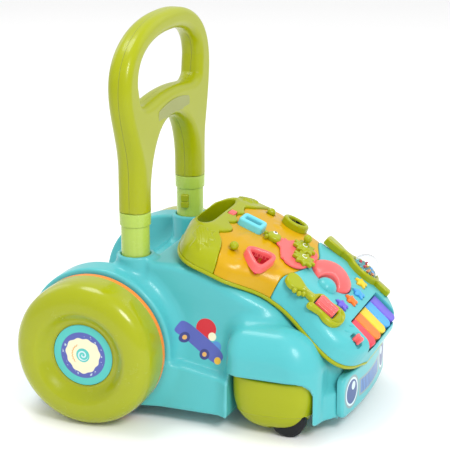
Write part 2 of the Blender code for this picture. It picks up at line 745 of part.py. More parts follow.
def sorter_outline(kind, grow):
    if kind == "square":
        return rectangle(0.0068 + grow, 0.0095 + grow, 0.0015 + grow)
    if kind == "triangle":
        reach = 0.0160 + 2 * grow
        corners = circle(reach, count=3, start=math.radians(80))
        return rounded_polygon(corners, 0.002 + grow * 0.6)
    return circle(0.0105 + grow)


def panel_tray():
    """A shallow tray that closes the panel from below, with the carry hole through it."""
    low, high = -PANEL_DEPTH - TRAY_DEPTH, -PANEL_DEPTH - GAP
    lip = 0.0012

    def section(run, inset, bottom, top):
        rim = max(rim_half_width(run) + lip - inset, 0.004)
        half = [(0.0, bottom), (rim, bottom), (rim, top), (0.0, top)]
        return [panel_point(x, run, height) for x, height in mirrored_ring(half)]

    outside = [section(run, 0.0, low, high) for run in runs_between(PANEL_START - lip, PANEL_END + lip)]
    tray = loft("panel_tray", outside, LIME)
    pocket_runs = runs_between(PANEL_START + 0.005, PANEL_END - 0.005)
    pocket = [section(run, 0.006, low + 0.002, high + 0.003) for run in pocket_runs]
    cut(tray, loft("tray_pocket", pocket))
    cut(tray, carry_hole("tray"))
    room = rectangle(DOOR_SIZE[0] + 0.0006, DOOR_SIZE[1] + 0.0006, 0.003)
    return cut(tray, plate("battery_room", [room], -0.05, -PANEL_DEPTH - 0.001, panel_place(*DOOR)))


def carry_hole(tag):
    outline = []
    for angle in np.linspace(0, 2 * math.pi, 32, endpoint=False):
        x = 0.0490 * math.copysign(abs(math.cos(angle)) ** 0.75, math.cos(angle))
        lift = 0.0120 * math.sin(angle)
        outline.append((x, lift - 2.0 * x * x + 0.0025))
    return plate("carry_hole_" + tag, [outline], -0.06, 0.03, panel_place(0.0, 0.1205), None)


def panel_grip():
    grip = panel_shell("panel_grip", PANEL_START, GRIP_END - GAP / 2, LIME)
    half_x, half_run = HOOK_SIZE
    hook_room = rectangle(half_x + 0.0006, half_run + 0.0006, 0.0025, steps=2)
    return cut(grip, carry_hole("grip"), plate("hook_cut", [hook_room], -0.012, 0.02, panel_place(*HOOK)))


def panel_middle():
    middle = panel_shell("panel_middle", GRIP_END + GAP / 2, MIDDLE_END - GAP / 2, YELLOW)
    for kind, (x, run) in SORTER_HOLES:
        cut(middle, plate("sorter_cut_" + kind, [sorter_outline(kind, 0.0)], -0.012, 0.02,
                          panel_place(x, run)))
    for tag, x, run in DOTS:
        hole = circle(DOT_RADIUS + 0.0006, count=16)
        cut(middle, plate("dot_cut_" + tag, [hole], -0.012, 0.02, panel_place(x, run)))
    return middle


def panel_console():
    console = panel_shell("panel_console", MIDDLE_END + GAP / 2, PANEL_END, TURQUOISE)
    half = 2.5 * KEY_PITCH + 0.0008
    run = (KEY_START + KEY_END) / 2
    window = rectangle(half, (KEY_END - KEY_START) / 2 + 0.0012, 0.002, steps=2)
    cut(console, plate("key_window", [window], -0.022, 0.02, panel_place(0.0, run)))
    for tag, _, x, star_run in STARS:
        hole = wavy_circle(STAR_RADIUS + 0.0006, STAR_WAVE, 5, 25)
        cut(console, plate("star_cut_" + tag, [hole], -0.012, 0.02, panel_place(x, star_run)))
    cut(console, plate("drum_cut", [circle(DRUM_RADIUS + 0.0008, count=32)], -0.008, 0.02,
                       panel_place(*DRUM)))
    slot = rectangle(ROLLER_RADIUS + 0.001, ROLLER_HALF + 0.0012, 0.001, steps=2)
    cut(console, plate("roller_cut", [slot], -0.02, 0.02, panel_place(*ROLLER)))
    cut(console, plate("switch_cut", [rectangle(0.0052, 0.0082, 0.003)], -0.02, 0.02, panel_place(*SWITCH)))
    return console


def keys():
    place = panel_place(0.0, KEY_START)
    length = KEY_END - KEY_START
    for index, (colour, material) in enumerate(KEY_COLOURS):
        middle = (index - 2) * KEY_PITCH
        half = KEY_PITCH / 2 - 0.0004
        tip = half * 0.98
        arc = [(middle + tip * math.cos(a), -length + tip * 0.55 + tip * 0.55 * math.sin(a))
               for a in np.linspace(math.pi, 2 * math.pi, 9)]
        outline = arc + [(middle + half, 0.0), (middle - half, 0.0)]
        plate("key_" + colour, [outline], -KEY_DROP - KEY_THICK, -KEY_DROP, place, material)


def star_buttons():
    for tag, material, x, run in STARS:
        outline = wavy_circle(STAR_RADIUS, STAR_WAVE, 5, 25)
        plate("button_" + tag, [outline], -0.006, 0.0030, panel_place(x, run), material)


def dome_buttons():
    for tag, x, run in DOTS:
        ball_at("dome_button_" + tag, DOT_RADIUS, panel_place(x, run, -0.0008), LIME, 16, 10)


def drum_pad():
    """A round pad with a bite out of it, where the console's fixed dome stands."""
    angle = np.linspace(0, 2 * math.pi, 56, endpoint=False)
    outline = []
    bite = Vector(BITE)
    for a in angle:
        point = Vector((DRUM_RADIUS * math.cos(a), DRUM_RADIUS * math.sin(a)))
        if (point - bite).length >= BITE_RADIUS:
            outline.append(tuple(point))
    steps = [(Vector(outline[k - 1]) - Vector(point)).length for k, point in enumerate(outline)]
    first = [k for k, step in enumerate(steps) if step > 0.01][0]
    outline = outline[first:] + outline[:first]
    start = Vector(outline[-1]) - bite
    end = Vector(outline[0]) - bite
    start_angle = math.atan2(start.y, start.x)
    sweep = (start_angle - math.atan2(end.y, end.x)) % (2 * math.pi)
    for step in range(1, 8):
        a = start_angle - sweep * step / 8
        outline.append((bite.x + BITE_RADIUS * math.cos(a), bite.y + BITE_RADIUS * math.sin(a)))
    return plate("drum_pad", [outline], -0.0070, 0.0025, panel_place(*DRUM), CORAL)


def sorter_frames():
    for (kind, (x, run)), material in zip(SORTER_HOLES, (SKY, CORAL, LIME)):
        loops = [sorter_outline(kind, 0.0055), sorter_outline(kind, 0.0002)]
        plate("sorter_frame_" + kind, loops, 0.0012, 0.0090, panel_place(x, run), material)


def snail():
    place = panel_place(0.0, 0.2210)
    body = [(-0.022, 0.010), (-0.034, 0.002), (-0.042, -0.010), (-0.040, -0.020), (-0.026, -0.0265),
            (0.004, -0.0275), (0.020, -0.0250), (0.022, -0.014), (0.006, -0.002), (0.003, 0.0115),
            (-0.013, 0.0115)]
    plate("snail_body", [body], 0.0010, 0.0028, place, CORAL)
    head = circle(0.0085, (-0.0060, 0.0215), 18)
    plate("snail_head", [head], 0.0010, 0.0060, place, LIME)


def gears():
    """Two equal gears in mesh: each points a tooth or a gap at the other."""
    (_, ax, arun), (_, bx, brun) = GEARS
    bearing = math.atan2(arun - brun, bx - ax)
    for (tag, x, run), turn in zip(GEARS, (bearing, bearing + math.pi + math.pi / GEAR_TEETH)):
        outline = wavy_circle(GEAR_RADIUS, GEAR_WAVE, GEAR_TEETH, 6 * GEAR_TEETH)
        gear = plate("gear_" + tag, [outline], 0.0038, 0.0080, panel_place(x, run, 0.0, turn), LIME)
        if tag == "upper":
            join(gear, *crank(x, run))


def crank(x, run):
    """A short peg with a ball on it, off the gear's centre."""
    place = panel_place(x, run, 0.0, CRANK_TURN) @ Matrix.Translation((CRANK_REACH, 0.0, 0.0))
    ball = ball_at("crank_ball", 0.0048, place @ Matrix.Translation((0.0, 0.0, 0.0150)), None, 14, 8)
    return ball, plate("crank_peg", [circle(0.0026, count=12)], 0.0065, 0.0135, place)


def guitar():
    place = panel_place(ROLLER[0], ROLLER[1])
    head = [(-0.008, 0.030), (0.008, 0.030), (0.0100, 0.046), (0.000, 0.056), (-0.0100, 0.046)]
    neck_half = 0.0042
    body = [(0.0155 * math.cos(a), -0.004 + 0.0220 * math.sin(a))
            for a in np.linspace(math.radians(112), math.radians(428), 22)]
    outline = body + [(neck_half, 0.0200), (neck_half, 0.0300)] + head[1:]
    outline += [head[0], (-neck_half, 0.0300), (-neck_half, 0.0200)]
    slot = rectangle(ROLLER_RADIUS + 0.0008, ROLLER_HALF + 0.0012, 0.001, steps=2)
    return plate("guitar_body", [outline, slot], 0.0008, 0.0060, place, LIME)


def guitar_roller():
    bm = bmesh.new()
    bmesh.ops.create_cone(bm, cap_ends=True, segments=20, radius1=ROLLER_RADIUS, radius2=ROLLER_RADIUS,
                          depth=2 * ROLLER_HALF)
    bm.transform(panel_place(*ROLLER) @ TURN["Y"])
    return from_bmesh("guitar_roller", bm, CORAL)


def shaker():
    """A ring with a neck and a tab, and a clear dome in it."""
    place = panel_place(*SHAKER)
    ring = [(SHAKER_RADIUS * 1.12 * math.cos(a), SHAKER_RADIUS * 1.12 * math.sin(a))
            for a in np.linspace(math.radians(110), math.radians(430), 24)]
    outline = ring + [(0.007, 0.034), (0.008, 0.052), (-0.008, 0.052), (-0.007, 0.034)]
    plate("shaker_ring", [outline, circle(SHAKER_RADIUS - 0.0030)], 0.0010, 0.0075, place, LIME)
    profile_out = SHAKER_RADIUS - 0.0034
    profile_in = profile_out - 0.0016
    angles = np.linspace(0.0, math.pi / 2 - 0.02, 6)
    rows = [[(profile_out * math.cos(a), 0.0015 + profile_out * 0.95 * math.sin(a)) for a in angles],
            [(profile_in * math.cos(a), 0.0015 + profile_in * 0.95 * math.sin(a)) for a in angles[::-1]]]
    closed = rows[0] + rows[1]
    turn = np.linspace(0, 2 * math.pi, 24, endpoint=False)
    grid = np.array([[tuple(place @ Vector((r * math.cos(t), r * math.sin(t), h))) for r, h in closed]
                     for t in turn])
    return loop_surface("shaker_dome", grid, CLEAR)


def power_switch():
    return plate("power_switch", [rectangle(0.0042, 0.0050, 0.0025)], -0.006, 0.0030, panel_place(*SWITCH),
                 CORAL)


def panel_insides():
    low = -PANEL_DEPTH - TRAY_DEPTH
    plate("battery_door", [rectangle(*DOOR_SIZE, 0.003)], low + 0.0004, low + 0.0024, panel_place(*DOOR),
          LIME)
    plate("circuit_board", [rectangle(0.045, 0.022, 0.001)], -0.0262, -0.0246, panel_place(0.0, 0.305), BOARD)
    plate("speaker", [circle(0.019, count=24)], -0.0270, -0.0170, panel_place(0.030, 0.205), BLACK)


def panel_hook():
    """The sprung tongue at the top of the panel that holds it to the deck."""
    return plate("panel_hook", [rectangle(*HOOK_SIZE, 0.002, steps=2)], -0.0060, 0.0016, panel_place(*HOOK),
                 CORAL)


def set_origin(name, point):
    """Moves an object's origin to a world point and leaves its shape where it is."""
    obj = bpy.data.objects[name]
    obj.data.transform(Matrix.Translation(-Vector(point)))
    obj.location = point


def panel_origins():
    """Where each moving piece on the panel turns, presses or slides."""
    found = {"gear_" + tag: panel_point(x, run, 0.0) for tag, x, run in GEARS}
    for index, (colour, _) in enumerate(KEY_COLOURS):
        found["key_" + colour] = panel_point((index - 2) * KEY_PITCH, KEY_START, -KEY_DROP - KEY_THICK / 2)
    for tag, _, x, run in STARS:
        found["button_" + tag] = panel_point(x, run, 0.0)
    for tag, x, run in DOTS:
        found["dome_button_" + tag] = panel_point(x, run, 0.0)
    for name, spot in (("drum_pad", DRUM), ("guitar_roller", ROLLER), ("power_switch", SWITCH),
                       ("panel_hook", HOOK)):
        found[name] = panel_point(*spot, 0.0)
    still = ["panel_tray", "panel_grip", "panel_middle", "panel_console", "snail_body", "snail_head",
             "guitar_body",
             "shaker_ring", "shaker_dome", "battery_door", "circuit_board", "speaker"]
    still += ["sorter_frame_" + kind for kind, _ in SORTER_HOLES]
    found.update((name, panel_point(0.0, PANEL_LIFT_RUN, 0.0)) for name in still)
    return found


def origins():
    """Each moving part's spot on its own joint's axis. The handle slides along Z, so its shells keep
    theirs."""
    found = panel_origins()
    for sign in (-1, 1):
        tag = side_name(sign)
        for name in ("rear_wheel_", "rear_rim_", "hub_cap_"):
            found[name + tag] = (sign * REAR_INNER_X, REAR_Y, REAR_RADIUS)
        found["front_wheel_" + tag] = (sign * FRONT_X, FRONT_Y, FRONT_RADIUS)
        found["latch_button_" + tag] = (sign * (LEG_X - TUBE_RADIUS), LEG_Y, BUTTON_Z)
        found["handle_rod_" + tag] = (sign * LEG_X, LEG_Y, LEG_BOTTOM)
    return found


def build():
    base_body()
    base_floor()
    front_plate()
    rear_axle()
    for sign in (-1, 1):
        rear_wheel(sign)
        front_wheel(sign)
        wheel_cowl(sign)
        handle_tube(sign)
    handle_shell("handle_front", LEG_Y - HANDLE_HALF_DEPTH, LEG_Y - GAP / 2, True)
    handle_shell("handle_back", LEG_Y + GAP / 2, LEG_Y + HANDLE_HALF_DEPTH, False)
    handle_badge()
    panel_tray()
    panel_grip()
    panel_middle()
    panel_console()
    keys()
    star_buttons()
    dome_buttons()
    drum_pad()
    sorter_frames()
    snail()
    gears()
    guitar()
    guitar_roller()
    shaker()
    power_switch()
    panel_insides()
    panel_hook()
    for name, point in origins().items():
        set_origin(name, point)


build()
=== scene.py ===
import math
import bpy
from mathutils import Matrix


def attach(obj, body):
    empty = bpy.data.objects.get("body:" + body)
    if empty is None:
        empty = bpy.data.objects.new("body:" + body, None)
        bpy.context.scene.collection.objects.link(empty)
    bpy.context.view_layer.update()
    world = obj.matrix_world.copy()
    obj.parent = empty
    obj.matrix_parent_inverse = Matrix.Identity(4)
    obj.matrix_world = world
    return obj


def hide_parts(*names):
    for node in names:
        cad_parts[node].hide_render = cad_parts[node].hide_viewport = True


bl_info = {
    "name": "Baby walker",
    "version": (1, 0, 0),
    "blender": (4, 5, 0),
    "location": "View3D > Sidebar > Walker",
    "description": "Moulded shells, wheels, handle and activity pieces of a push-along baby walker",
    "category": "Add Mesh",
}

from itertools import product

import bmesh
import bpy
import numpy as np
from bpy.props import FloatProperty, FloatVectorProperty, PointerProperty
from mathutils import Vector

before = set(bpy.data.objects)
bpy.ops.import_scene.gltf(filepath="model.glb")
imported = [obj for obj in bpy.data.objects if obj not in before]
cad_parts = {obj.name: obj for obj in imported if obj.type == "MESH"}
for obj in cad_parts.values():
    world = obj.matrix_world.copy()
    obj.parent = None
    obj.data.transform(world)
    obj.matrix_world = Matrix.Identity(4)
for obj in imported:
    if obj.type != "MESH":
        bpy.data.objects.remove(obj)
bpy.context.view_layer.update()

# ------------------------------------------------------------------ sizes that the packed frame shares

REAR_RADIUS, REAR_Y = 0.085, 0.115
HUB_X = 0.1645
FENDER_RADIUS, FENDER_X, FENDER_WIDTH = 0.0895, 0.124, 0.030
FRONT_RADIUS, FRONT_X, FRONT_Y, FRONT_WIDTH = 0.020, 0.1100, -0.1125, 0.016
BODY_FRONT, BODY_REAR, SKIRT_BOTTOM, SKIRT_X = -0.160, 0.1985, 0.0145, 0.1230
POD_Y, POD_TOP, POD_X, ARCH_TOP = -0.0965, 0.124, 0.1345, 0.070
LEG_X, LEG_Y, TUBE_RADIUS, SOCKET_TOP = 0.0833, 0.084, 0.0164, 0.1855
COLLAR_BOTTOM, LEG_BOTTOM = 0.2205, 0.236
HANDLE_TOP, HANDLE_HALF_WIDTH, LEG_HALF_WIDTH, LOOP_CENTRE = 0.452, 0.1235, 0.0165, 0.375
ARC, ARC_Y, ARC_Z = 0.460, 0.1358, -0.2232
PANEL_START, PANEL_END = 0.098, 0.379
PANEL_DEPTH = 0.030
KEY_PITCH, KEY_START, KEY_END = 0.0204, 0.3302, 0.3665
DRUM, BITE, BITE_RADIUS = (0.0, 0.2785), (-0.0280, -0.0035), 0.0138
ROLLER, SHAKER, SWITCH, HOOK = (-0.0690, 0.2975), (0.0730, 0.3000), (-0.0675, 0.3480), (0.0050, 0.1390)
STARS = (("purple", -0.040, 0.309), ("orange", -0.0145, 0.3135), ("blue", 0.0115, 0.3145),
         ("yellow", 0.0370, 0.3085))
GEARS = (("upper", 0.0060, 0.2330), ("lower", -0.0195, 0.2420))
GEAR_TEETH = 9
DOTS = (("left", -0.072, 0.1725), ("right", 0.0600, 0.1705))
KEYS = ("red", "orange", "yellow", "blue", "purple")
HOOK_SIZE, SHAKER_DOME = (0.0065, 0.0040), 0.0166
TAU = 2 * math.pi


# ------------------------------------------------------------------ shapes as signed distances

def smooth_step(value, low, high):
    """0 below low, 1 above high, and 3t^2 - 2t^3 between."""
    share = np.clip((value - low) / (high - low), 0.0, 1.0)
    return share * share * (3 - 2 * share)


def both(a, b, radius=0.0):
    """The overlap of two solids, its edge turned into an arc of this radius."""
    return np.minimum(np.maximum(a, b), -radius) + np.hypot(np.maximum(a + radius, 0),
                                                            np.maximum(b + radius, 0))


def either(a, b, radius=0.0):
    """Two solids joined, with a fillet of this radius in the corner between them."""
    return np.maximum(np.minimum(a, b), radius) - np.hypot(np.maximum(radius - a, 0),
                                                           np.maximum(radius - b, 0))


def without(a, b, radius=0.0):
    return both(a, -b, radius)


def block(x, y, z, centre, half, radius):
    """A box with every edge an arc: the length of what sticks out of a smaller box, less the radius."""
    q = [np.abs(v - c) - h + radius for v, c, h in zip((x, y, z), centre, half)]
    outside = np.sqrt(sum(np.maximum(v, 0) ** 2 for v in q))
    return outside + np.minimum(np.maximum(np.maximum(q[0], q[1]), q[2]), 0) - radius


def outline_distance(u, v, corners):
    """Distance from (u, v) to a closed outline's nearest edge, negative inside by crossing parity."""
    best, inside = np.inf, np.zeros(np.broadcast(u, v).shape, bool)
    corners = np.asarray(corners, float)
    for (ax, ay), (bx, by) in zip(corners, np.roll(corners, -1, axis=0)):
        ex, ey = bx - ax, by - ay
        wx, wy = u - ax, v - ay
        share = np.clip((wx * ex + wy * ey) / (ex * ex + ey * ey + 1e-18), 0, 1)
        best = np.minimum(best, (wx - ex * share) ** 2 + (wy - ey * share) ** 2)
        if ey:
            inside ^= ((ay > v) != (by > v)) & (wx < wy * ex / ey)
    return np.where(inside, -1.0, 1.0) * np.sqrt(best)


def smooth_loop(points, per_span=6):
    """A closed curve through the points, a cubic on each span whose slopes are half the neighbours' step."""
    p = np.asarray(points, float)
    before, after, beyond = np.roll(p, 1, 0), np.roll(p, -1, 0), np.roll(p, -2, 0)
    t = np.linspace(0, 1, per_span, endpoint=False)[:, None, None]
    curve = p + 0.5 * t * (after - before) + t ** 2 * (before - 2.5 * p + 2 * after - 0.5 * beyond)
    curve = curve + t ** 3 * (-0.5 * before + 1.5 * p - 1.5 * after + 0.5 * beyond)
    return curve.transpose(1, 0, 2).reshape(-1, p.shape[1])


def ring_points(radius, count, centre=(0.0, 0.0), wave=0.0, lobes=0, turn=0.0):
    """A circle whose radius swings by wave, lobes times round."""
    a = np.linspace(0, 2 * math.pi, count, endpoint=False)
    reach = radius + wave * np.cos(lobes * a)
    return np.stack([centre[0] + reach * np.cos(a + turn), centre[1] + reach * np.sin(a + turn)], -1)


def power_curve(half_width, half_height, centre, start, end, power, count):
    """(|x / a|^n + |z / b|^n = 1) from one angle to another."""
    a = np.linspace(start, end, count)
    cos, sin = np.cos(a), np.sin(a)
    x = half_width * np.sign(cos) * np.abs(cos) ** (2 / power)
    z = centre + half_height * np.sign(sin) * np.abs(sin) ** (2 / power)
    return np.stack([x, z], -1)


# ------------------------------------------------------------------ surfaces from distances

CORNERS = [np.array(c) for c in product((0, 1), repeat=3)]
CELL_EDGES = [(a, b) for a, b in product(CORNERS, CORNERS) if (b - a).sum() == 1 and (b - a).min() >= 0]


def settle(points, field, step, rounds=4):
    """Moves points down the field's slope, value over slope squared at a time, until they lie on its zero."""
    small = 0.02 * step
    for _ in range(rounds):
        here = field(*points.T)
        slope = np.stack([(field(*(points + small * axis).T) - here) / small for axis in np.eye(3)], -1)
        steep = np.maximum((slope ** 2).sum(-1), 0.05)
        move = np.clip(here / steep, -step, step)
        points = points - np.clip(move[:, None] * slope, -step, step)
    return points


def skin(field, low, high, step):
    """Points and four-sided faces where the field is zero, one point in each crossed cell of a grid.

    Each point starts at the mean of its cell's edge crossings, and each crossed grid edge gets the face that
    joins the four cells round it.
    """
    axes = [np.arange(a - 1.5 * step, b + 2.5 * step, step) for a, b in zip(low, high)]
    x, y, z = np.meshgrid(*axes, indexing="ij", sparse=True)
    shape = tuple(len(a) for a in axes)
    values = np.broadcast_to(field(x, y, z), shape).astype(np.float32)
    solid = values < 0
    count = sum(solid[tuple(slice(c, n - 1 + c) for c,
                            n in zip(corner, shape))].astype(np.uint8) for corner in CORNERS)
    cells = np.argwhere((count > 0) & (count < 8))
    total = np.zeros((len(cells), 3))
    hits = np.zeros((len(cells), 1))
    for a, b in CELL_EDGES:
        va, vb = values[tuple((cells + a).T)], values[tuple((cells + b).T)]
        crossed = ((va < 0) != (vb < 0))[:, None]
        share = np.where(crossed[:, 0], va / np.where(va == vb, 1, va - vb), 0)[:, None]
        total += crossed * (a + share * (b - a))
        hits += crossed
    start = np.array([axis[0] for axis in axes])
    points = start + step * (cells + total / hits)
    index = np.full(count.shape, -1)
    index[tuple(cells.T)] = np.arange(len(cells))
    faces = []
    for axis in range(3):
        along, left, up = np.eye(3, dtype=int)[[axis, (axis + 1) % 3, (axis + 2) % 3]]
        near = solid[tuple(slice(0, n - d) for n, d in zip(shape, along))]
        far = solid[tuple(slice(d, n) for n, d in zip(shape, along))]
        edges = np.argwhere(near != far)
        edges = edges[(edges[:, (axis + 1) % 3] > 0) & (edges[:, (axis + 2) % 3] > 0)]
        ring = [index[tuple((edges - shift).T)] for shift in (left + up, up, 0 * up, left)]
        quad = np.stack(ring, -1)
        leaves = near[tuple(edges.T)]
        faces.append(np.where(leaves[:, None], quad, quad[:, ::-1]))
    return points, np.concatenate(faces)


def panel_point(x, run, height):
    """The panel's skin is an arc: run is the distance along it, and height is measured outward from it."""
    angle, reach = run / ARC, ARC + height
    return np.stack(np.broadcast_arrays(x, ARC_Y - reach * np.sin(angle), ARC_Z + reach * np.cos(angle)), -1)


def tilted(x, run):
    """World place of points given in the flat frame of a spot on the panel: right, uphill, outward."""
    angle = run / ARC
    origin = panel_point(x, run, 0.0)
    right, up = np.array([1.0, 0, 0]), np.array([0, math.cos(angle), math.sin(angle)])
    out = np.array([0, -math.sin(angle), math.cos(angle)])
    return lambda p: origin + p[:, :1] * right + p[:, 1:2] * up + p[:, 2:3] * out


# ------------------------------------------------------------------ objects

FINISHES, COLOURS = {}, {}


def piece(name, points, faces, finish, body, replaces=(), sharp=None):
    """One mesh object at the origin, riding on a body and standing for the named frame nodes."""
    mesh = bpy.data.meshes.new(name)
    faces = np.asarray(faces)
    mesh.vertices.add(len(points))
    mesh.vertices.foreach_set("co", np.asarray(points, np.float32).ravel())
    mesh.loops.add(faces.size)
    mesh.loops.foreach_set("vertex_index", faces.astype(np.int32).ravel())
    mesh.polygons.add(len(faces))
    mesh.polygons.foreach_set("loop_start", np.arange(0, faces.size, faces.shape[1], dtype=np.int32))
    mesh.update(calc_edges=True)
    return dress(name, mesh, finish, body, replaces, sharp)


def dress(name, mesh, finish, body, replaces=(), sharp=None):
    mesh.validate()
    mesh.shade_smooth()
    if sharp:
        mesh.set_sharp_from_angle(angle=math.radians(sharp))
    for one in [finish] if isinstance(finish, str) else finish:
        mesh.materials.append(FINISHES[one])
    obj = bpy.data.objects.new(name, mesh)
    bpy.context.scene.collection.objects.link(obj)
    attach(obj, body)
    if replaces:
        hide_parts(*replaces)
    return obj


def moulding(name, field, low, high, step, finish, body, replaces=(), place=None, sharp=None, rounds=4):
    """A solid given by its distance field, skinned, settled, and bent or tilted into place."""
    points, faces = skin(field, low, high, step)
    points = settle(points, field, step, rounds)
    if place is not None:
        points = place(points)
    return piece(name, points, faces, finish, body, replaces, sharp)


def bent(points):
    return panel_point(*points.T)


def spun(profile, steps):
    """A closed profile of (radius, along) carried once round: grid of (along, radius cos, radius sin)."""
    profile = np.asarray(profile, float)
    a = np.linspace(0, 2 * math.pi, steps, endpoint=False)[:, None]
    return np.stack(np.broadcast_arrays(profile[:, 1], profile[:, 0] * np.cos(a), profile[:, 0] * np.sin(a)),
                    -1)


def loop_faces(rings, count):
    """Faces of a grid that closes both ways."""
    ring, point = np.meshgrid(np.arange(rings), np.arange(count), indexing="ij")
    ahead, beside = (ring + 1) % rings, (point + 1) % count
    quad = [ring * count + point, ring * count + beside, ahead * count + beside, ahead * count + point]
    return np.stack(quad, -1).reshape(-1, 4)


def outward(points, faces):
    """Turns every face round if the closed surface's signed volume is negative."""
    a, b, c, d = (points[faces[:, k]] for k in range(4))
    volume = (np.cross(a, b) * c).sum() + (np.cross(a, c) * d).sum()
    return faces if volume > 0 else faces[:, ::-1]


def turned(name, profile, centre, sign, finish, body, replaces=(), steps=96, sharp=40):
    """A closed profile turned about the X line through centre (y, z)."""
    grid = spun(profile, steps)
    points = grid.reshape(-1, 3) * (sign, 1, 1) + (0, centre[0], centre[1])
    faces = outward(points, loop_faces(steps, len(profile)))
    return piece(name, points, faces, finish, body, replaces, sharp)


def rounded_profile(corners, radius, steps=5):
    """A closed outline whose corners are arcs of one radius, or of each corner's own third number."""
    outline = []
    for k, corner in enumerate(corners):
        here = np.array(corner[:2], float)
        r = corner[2] if len(corner) > 2 else radius
        back, ahead = (np.array(corners[(k + d) % len(corners)][:2]) - here for d in (-1, 1))
        back_len, ahead_len = np.linalg.norm(back), np.linalg.norm(ahead)
        back, ahead = back / back_len, ahead / ahead_len
        half = math.acos(np.clip(back @ ahead, -1, 1)) / 2
        reach = min(r / math.tan(half), 0.49 * back_len, 0.49 * ahead_len)
        t = np.linspace(0, 1, steps + 1)[:, None]
        first, last = here + back * reach, here + ahead * reach
        outline.append((1 - t) ** 2 * first + 2 * t * (1 - t) * here + t ** 2 * last)
    return np.concatenate(outline)


# ------------------------------------------------------------------ the base

def side_wall(y, z):
    """Half width of the base: a flared skirt up to a sloping ledge, then a hollow wall up to the deck."""
    skirt = 0.088 + (SKIRT_X - 0.088) * smooth_step(y, -0.120, -0.050)
    deck = 0.078 + 0.022 * smooth_step(y, -0.150, -0.030)
    ledge = np.clip(0.060 + 0.17 * (y + 0.045), 0.050, 0.074)
    share = np.clip((z - ledge) / (0.150 - ledge), 0, 1)
    upper = (skirt - 0.012) * (1 - share) + deck * share - 0.005 * np.sin(math.pi * share)
    lower = skirt + 0.004 * (1 - np.clip(z / ledge, 0, 1))
    return lower + (upper - lower) * smooth_step(z, ledge - 0.003, ledge + 0.005)


def base_solid(x, y, z):
    """Hull, drum fenders, tube sockets and front pods, all joined by fillets, less the wheel arches."""
    x = np.abs(x)
    side = x - side_wall(y, z)
    under_panel = np.hypot(y - ARC_Y, z - ARC_Z) - (ARC - PANEL_DEPTH - 0.006)
    upper = both(both(side, under_panel, 0.012), z - 0.1815, 0.008)
    upper = both(upper, y - 0.063, 0.004)
    trough = np.maximum(z - 0.150, 0.78 * (z + 0.8 * y - 0.234))
    trough = both(np.maximum(trough, 0.050 - y), side, 0.006)
    body = either(upper, trough, 0.004)
    body = both(both(body, y - BODY_REAR, 0.008), BODY_FRONT - y, 0.010)
    drum = both(np.hypot(y - REAR_Y, z - REAR_RADIUS) - FENDER_RADIUS,
                np.abs(x - FENDER_X + FENDER_WIDTH / 2) - FENDER_WIDTH / 2, 0.0035)
    body = either(body, drum, 0.016)
    from_leg = np.hypot(x - LEG_X, y - LEG_Y)
    socket = both(np.maximum(from_leg - 0.0220, 0.10 - z), z - SOCKET_TOP, 0.0018)
    body = either(body, socket, 0.008)
    brow = z - POD_TOP - 0.001 + 0.030 * np.clip((-0.098 - y) / 0.053, 0, 1) ** 2
    brow = brow + 0.014 * np.clip((x - 0.100) / 0.034, 0, 1) ** 2
    plan = both(both(x - POD_X, POD_Y - 0.0530 - y, 0.034), y - POD_Y - 0.0545, 0.018)
    pod = both(np.maximum(plan, 0.0785 - x), brow, 0.020)
    body = either(body, pod, 0.016)
    arch = both(both(z - ARCH_TOP - 0.002, y + 0.0450, 0.005), -0.1425 - y, 0.018)
    body = without(body, np.maximum(arch, 0.0755 - x), 0.0016)
    body = without(body, np.maximum(from_leg - TUBE_RADIUS - 0.0009, 0.12 - z), 0.0010)
    hem = SKIRT_BOTTOM + 0.0045 * smooth_step(x, 0.0760, 0.0860) * smooth_step(y, -0.044, -0.047)
    hem = hem + 0.0035 * smooth_step(x, 0.1172, 0.1190)
    body = both(body, np.minimum(hem, 0.020) - z, 0.0012)
    floor_room = np.minimum(block(x, y, z, (0, 0.0742, 0.0), (0.1166, 0.1186, 0.0187), 0.001),
                            block(x, y, z, (0, -0.055, 0.0), (0.0736, 0.1006, 0.0187), 0.001))
    return without(body, floor_room, 0.0006)


def make_base(step):
    moulding("base_shell", base_solid, (-0.138, -0.166, 0.010), (0.138, 0.203, 0.190), step, "side_picture",
             "base",
             ["base_body"])


def plate_solid(x, y, z):
    """A rounded plate on the nose whose face bows forward, x squared less at the sides."""
    outline = block(x, 0 * y, z, (0, 0, 0.0412), (0.0850, 1.0, 0.0247), 0.009)
    bow = 0.0070 * (1 - (x / 0.085) ** 2)
    return np.maximum(both(outline, -0.1680 - bow - y, 0.0035), y + 0.1603)


def make_front_plate(step):
    moulding("nose_plate", plate_solid, (-0.087, -0.178, 0.014), (0.087, -0.159, 0.068), step,
             "nose_picture", "base",
             ["front_plate"])


# ------------------------------------------------------------------ wheels

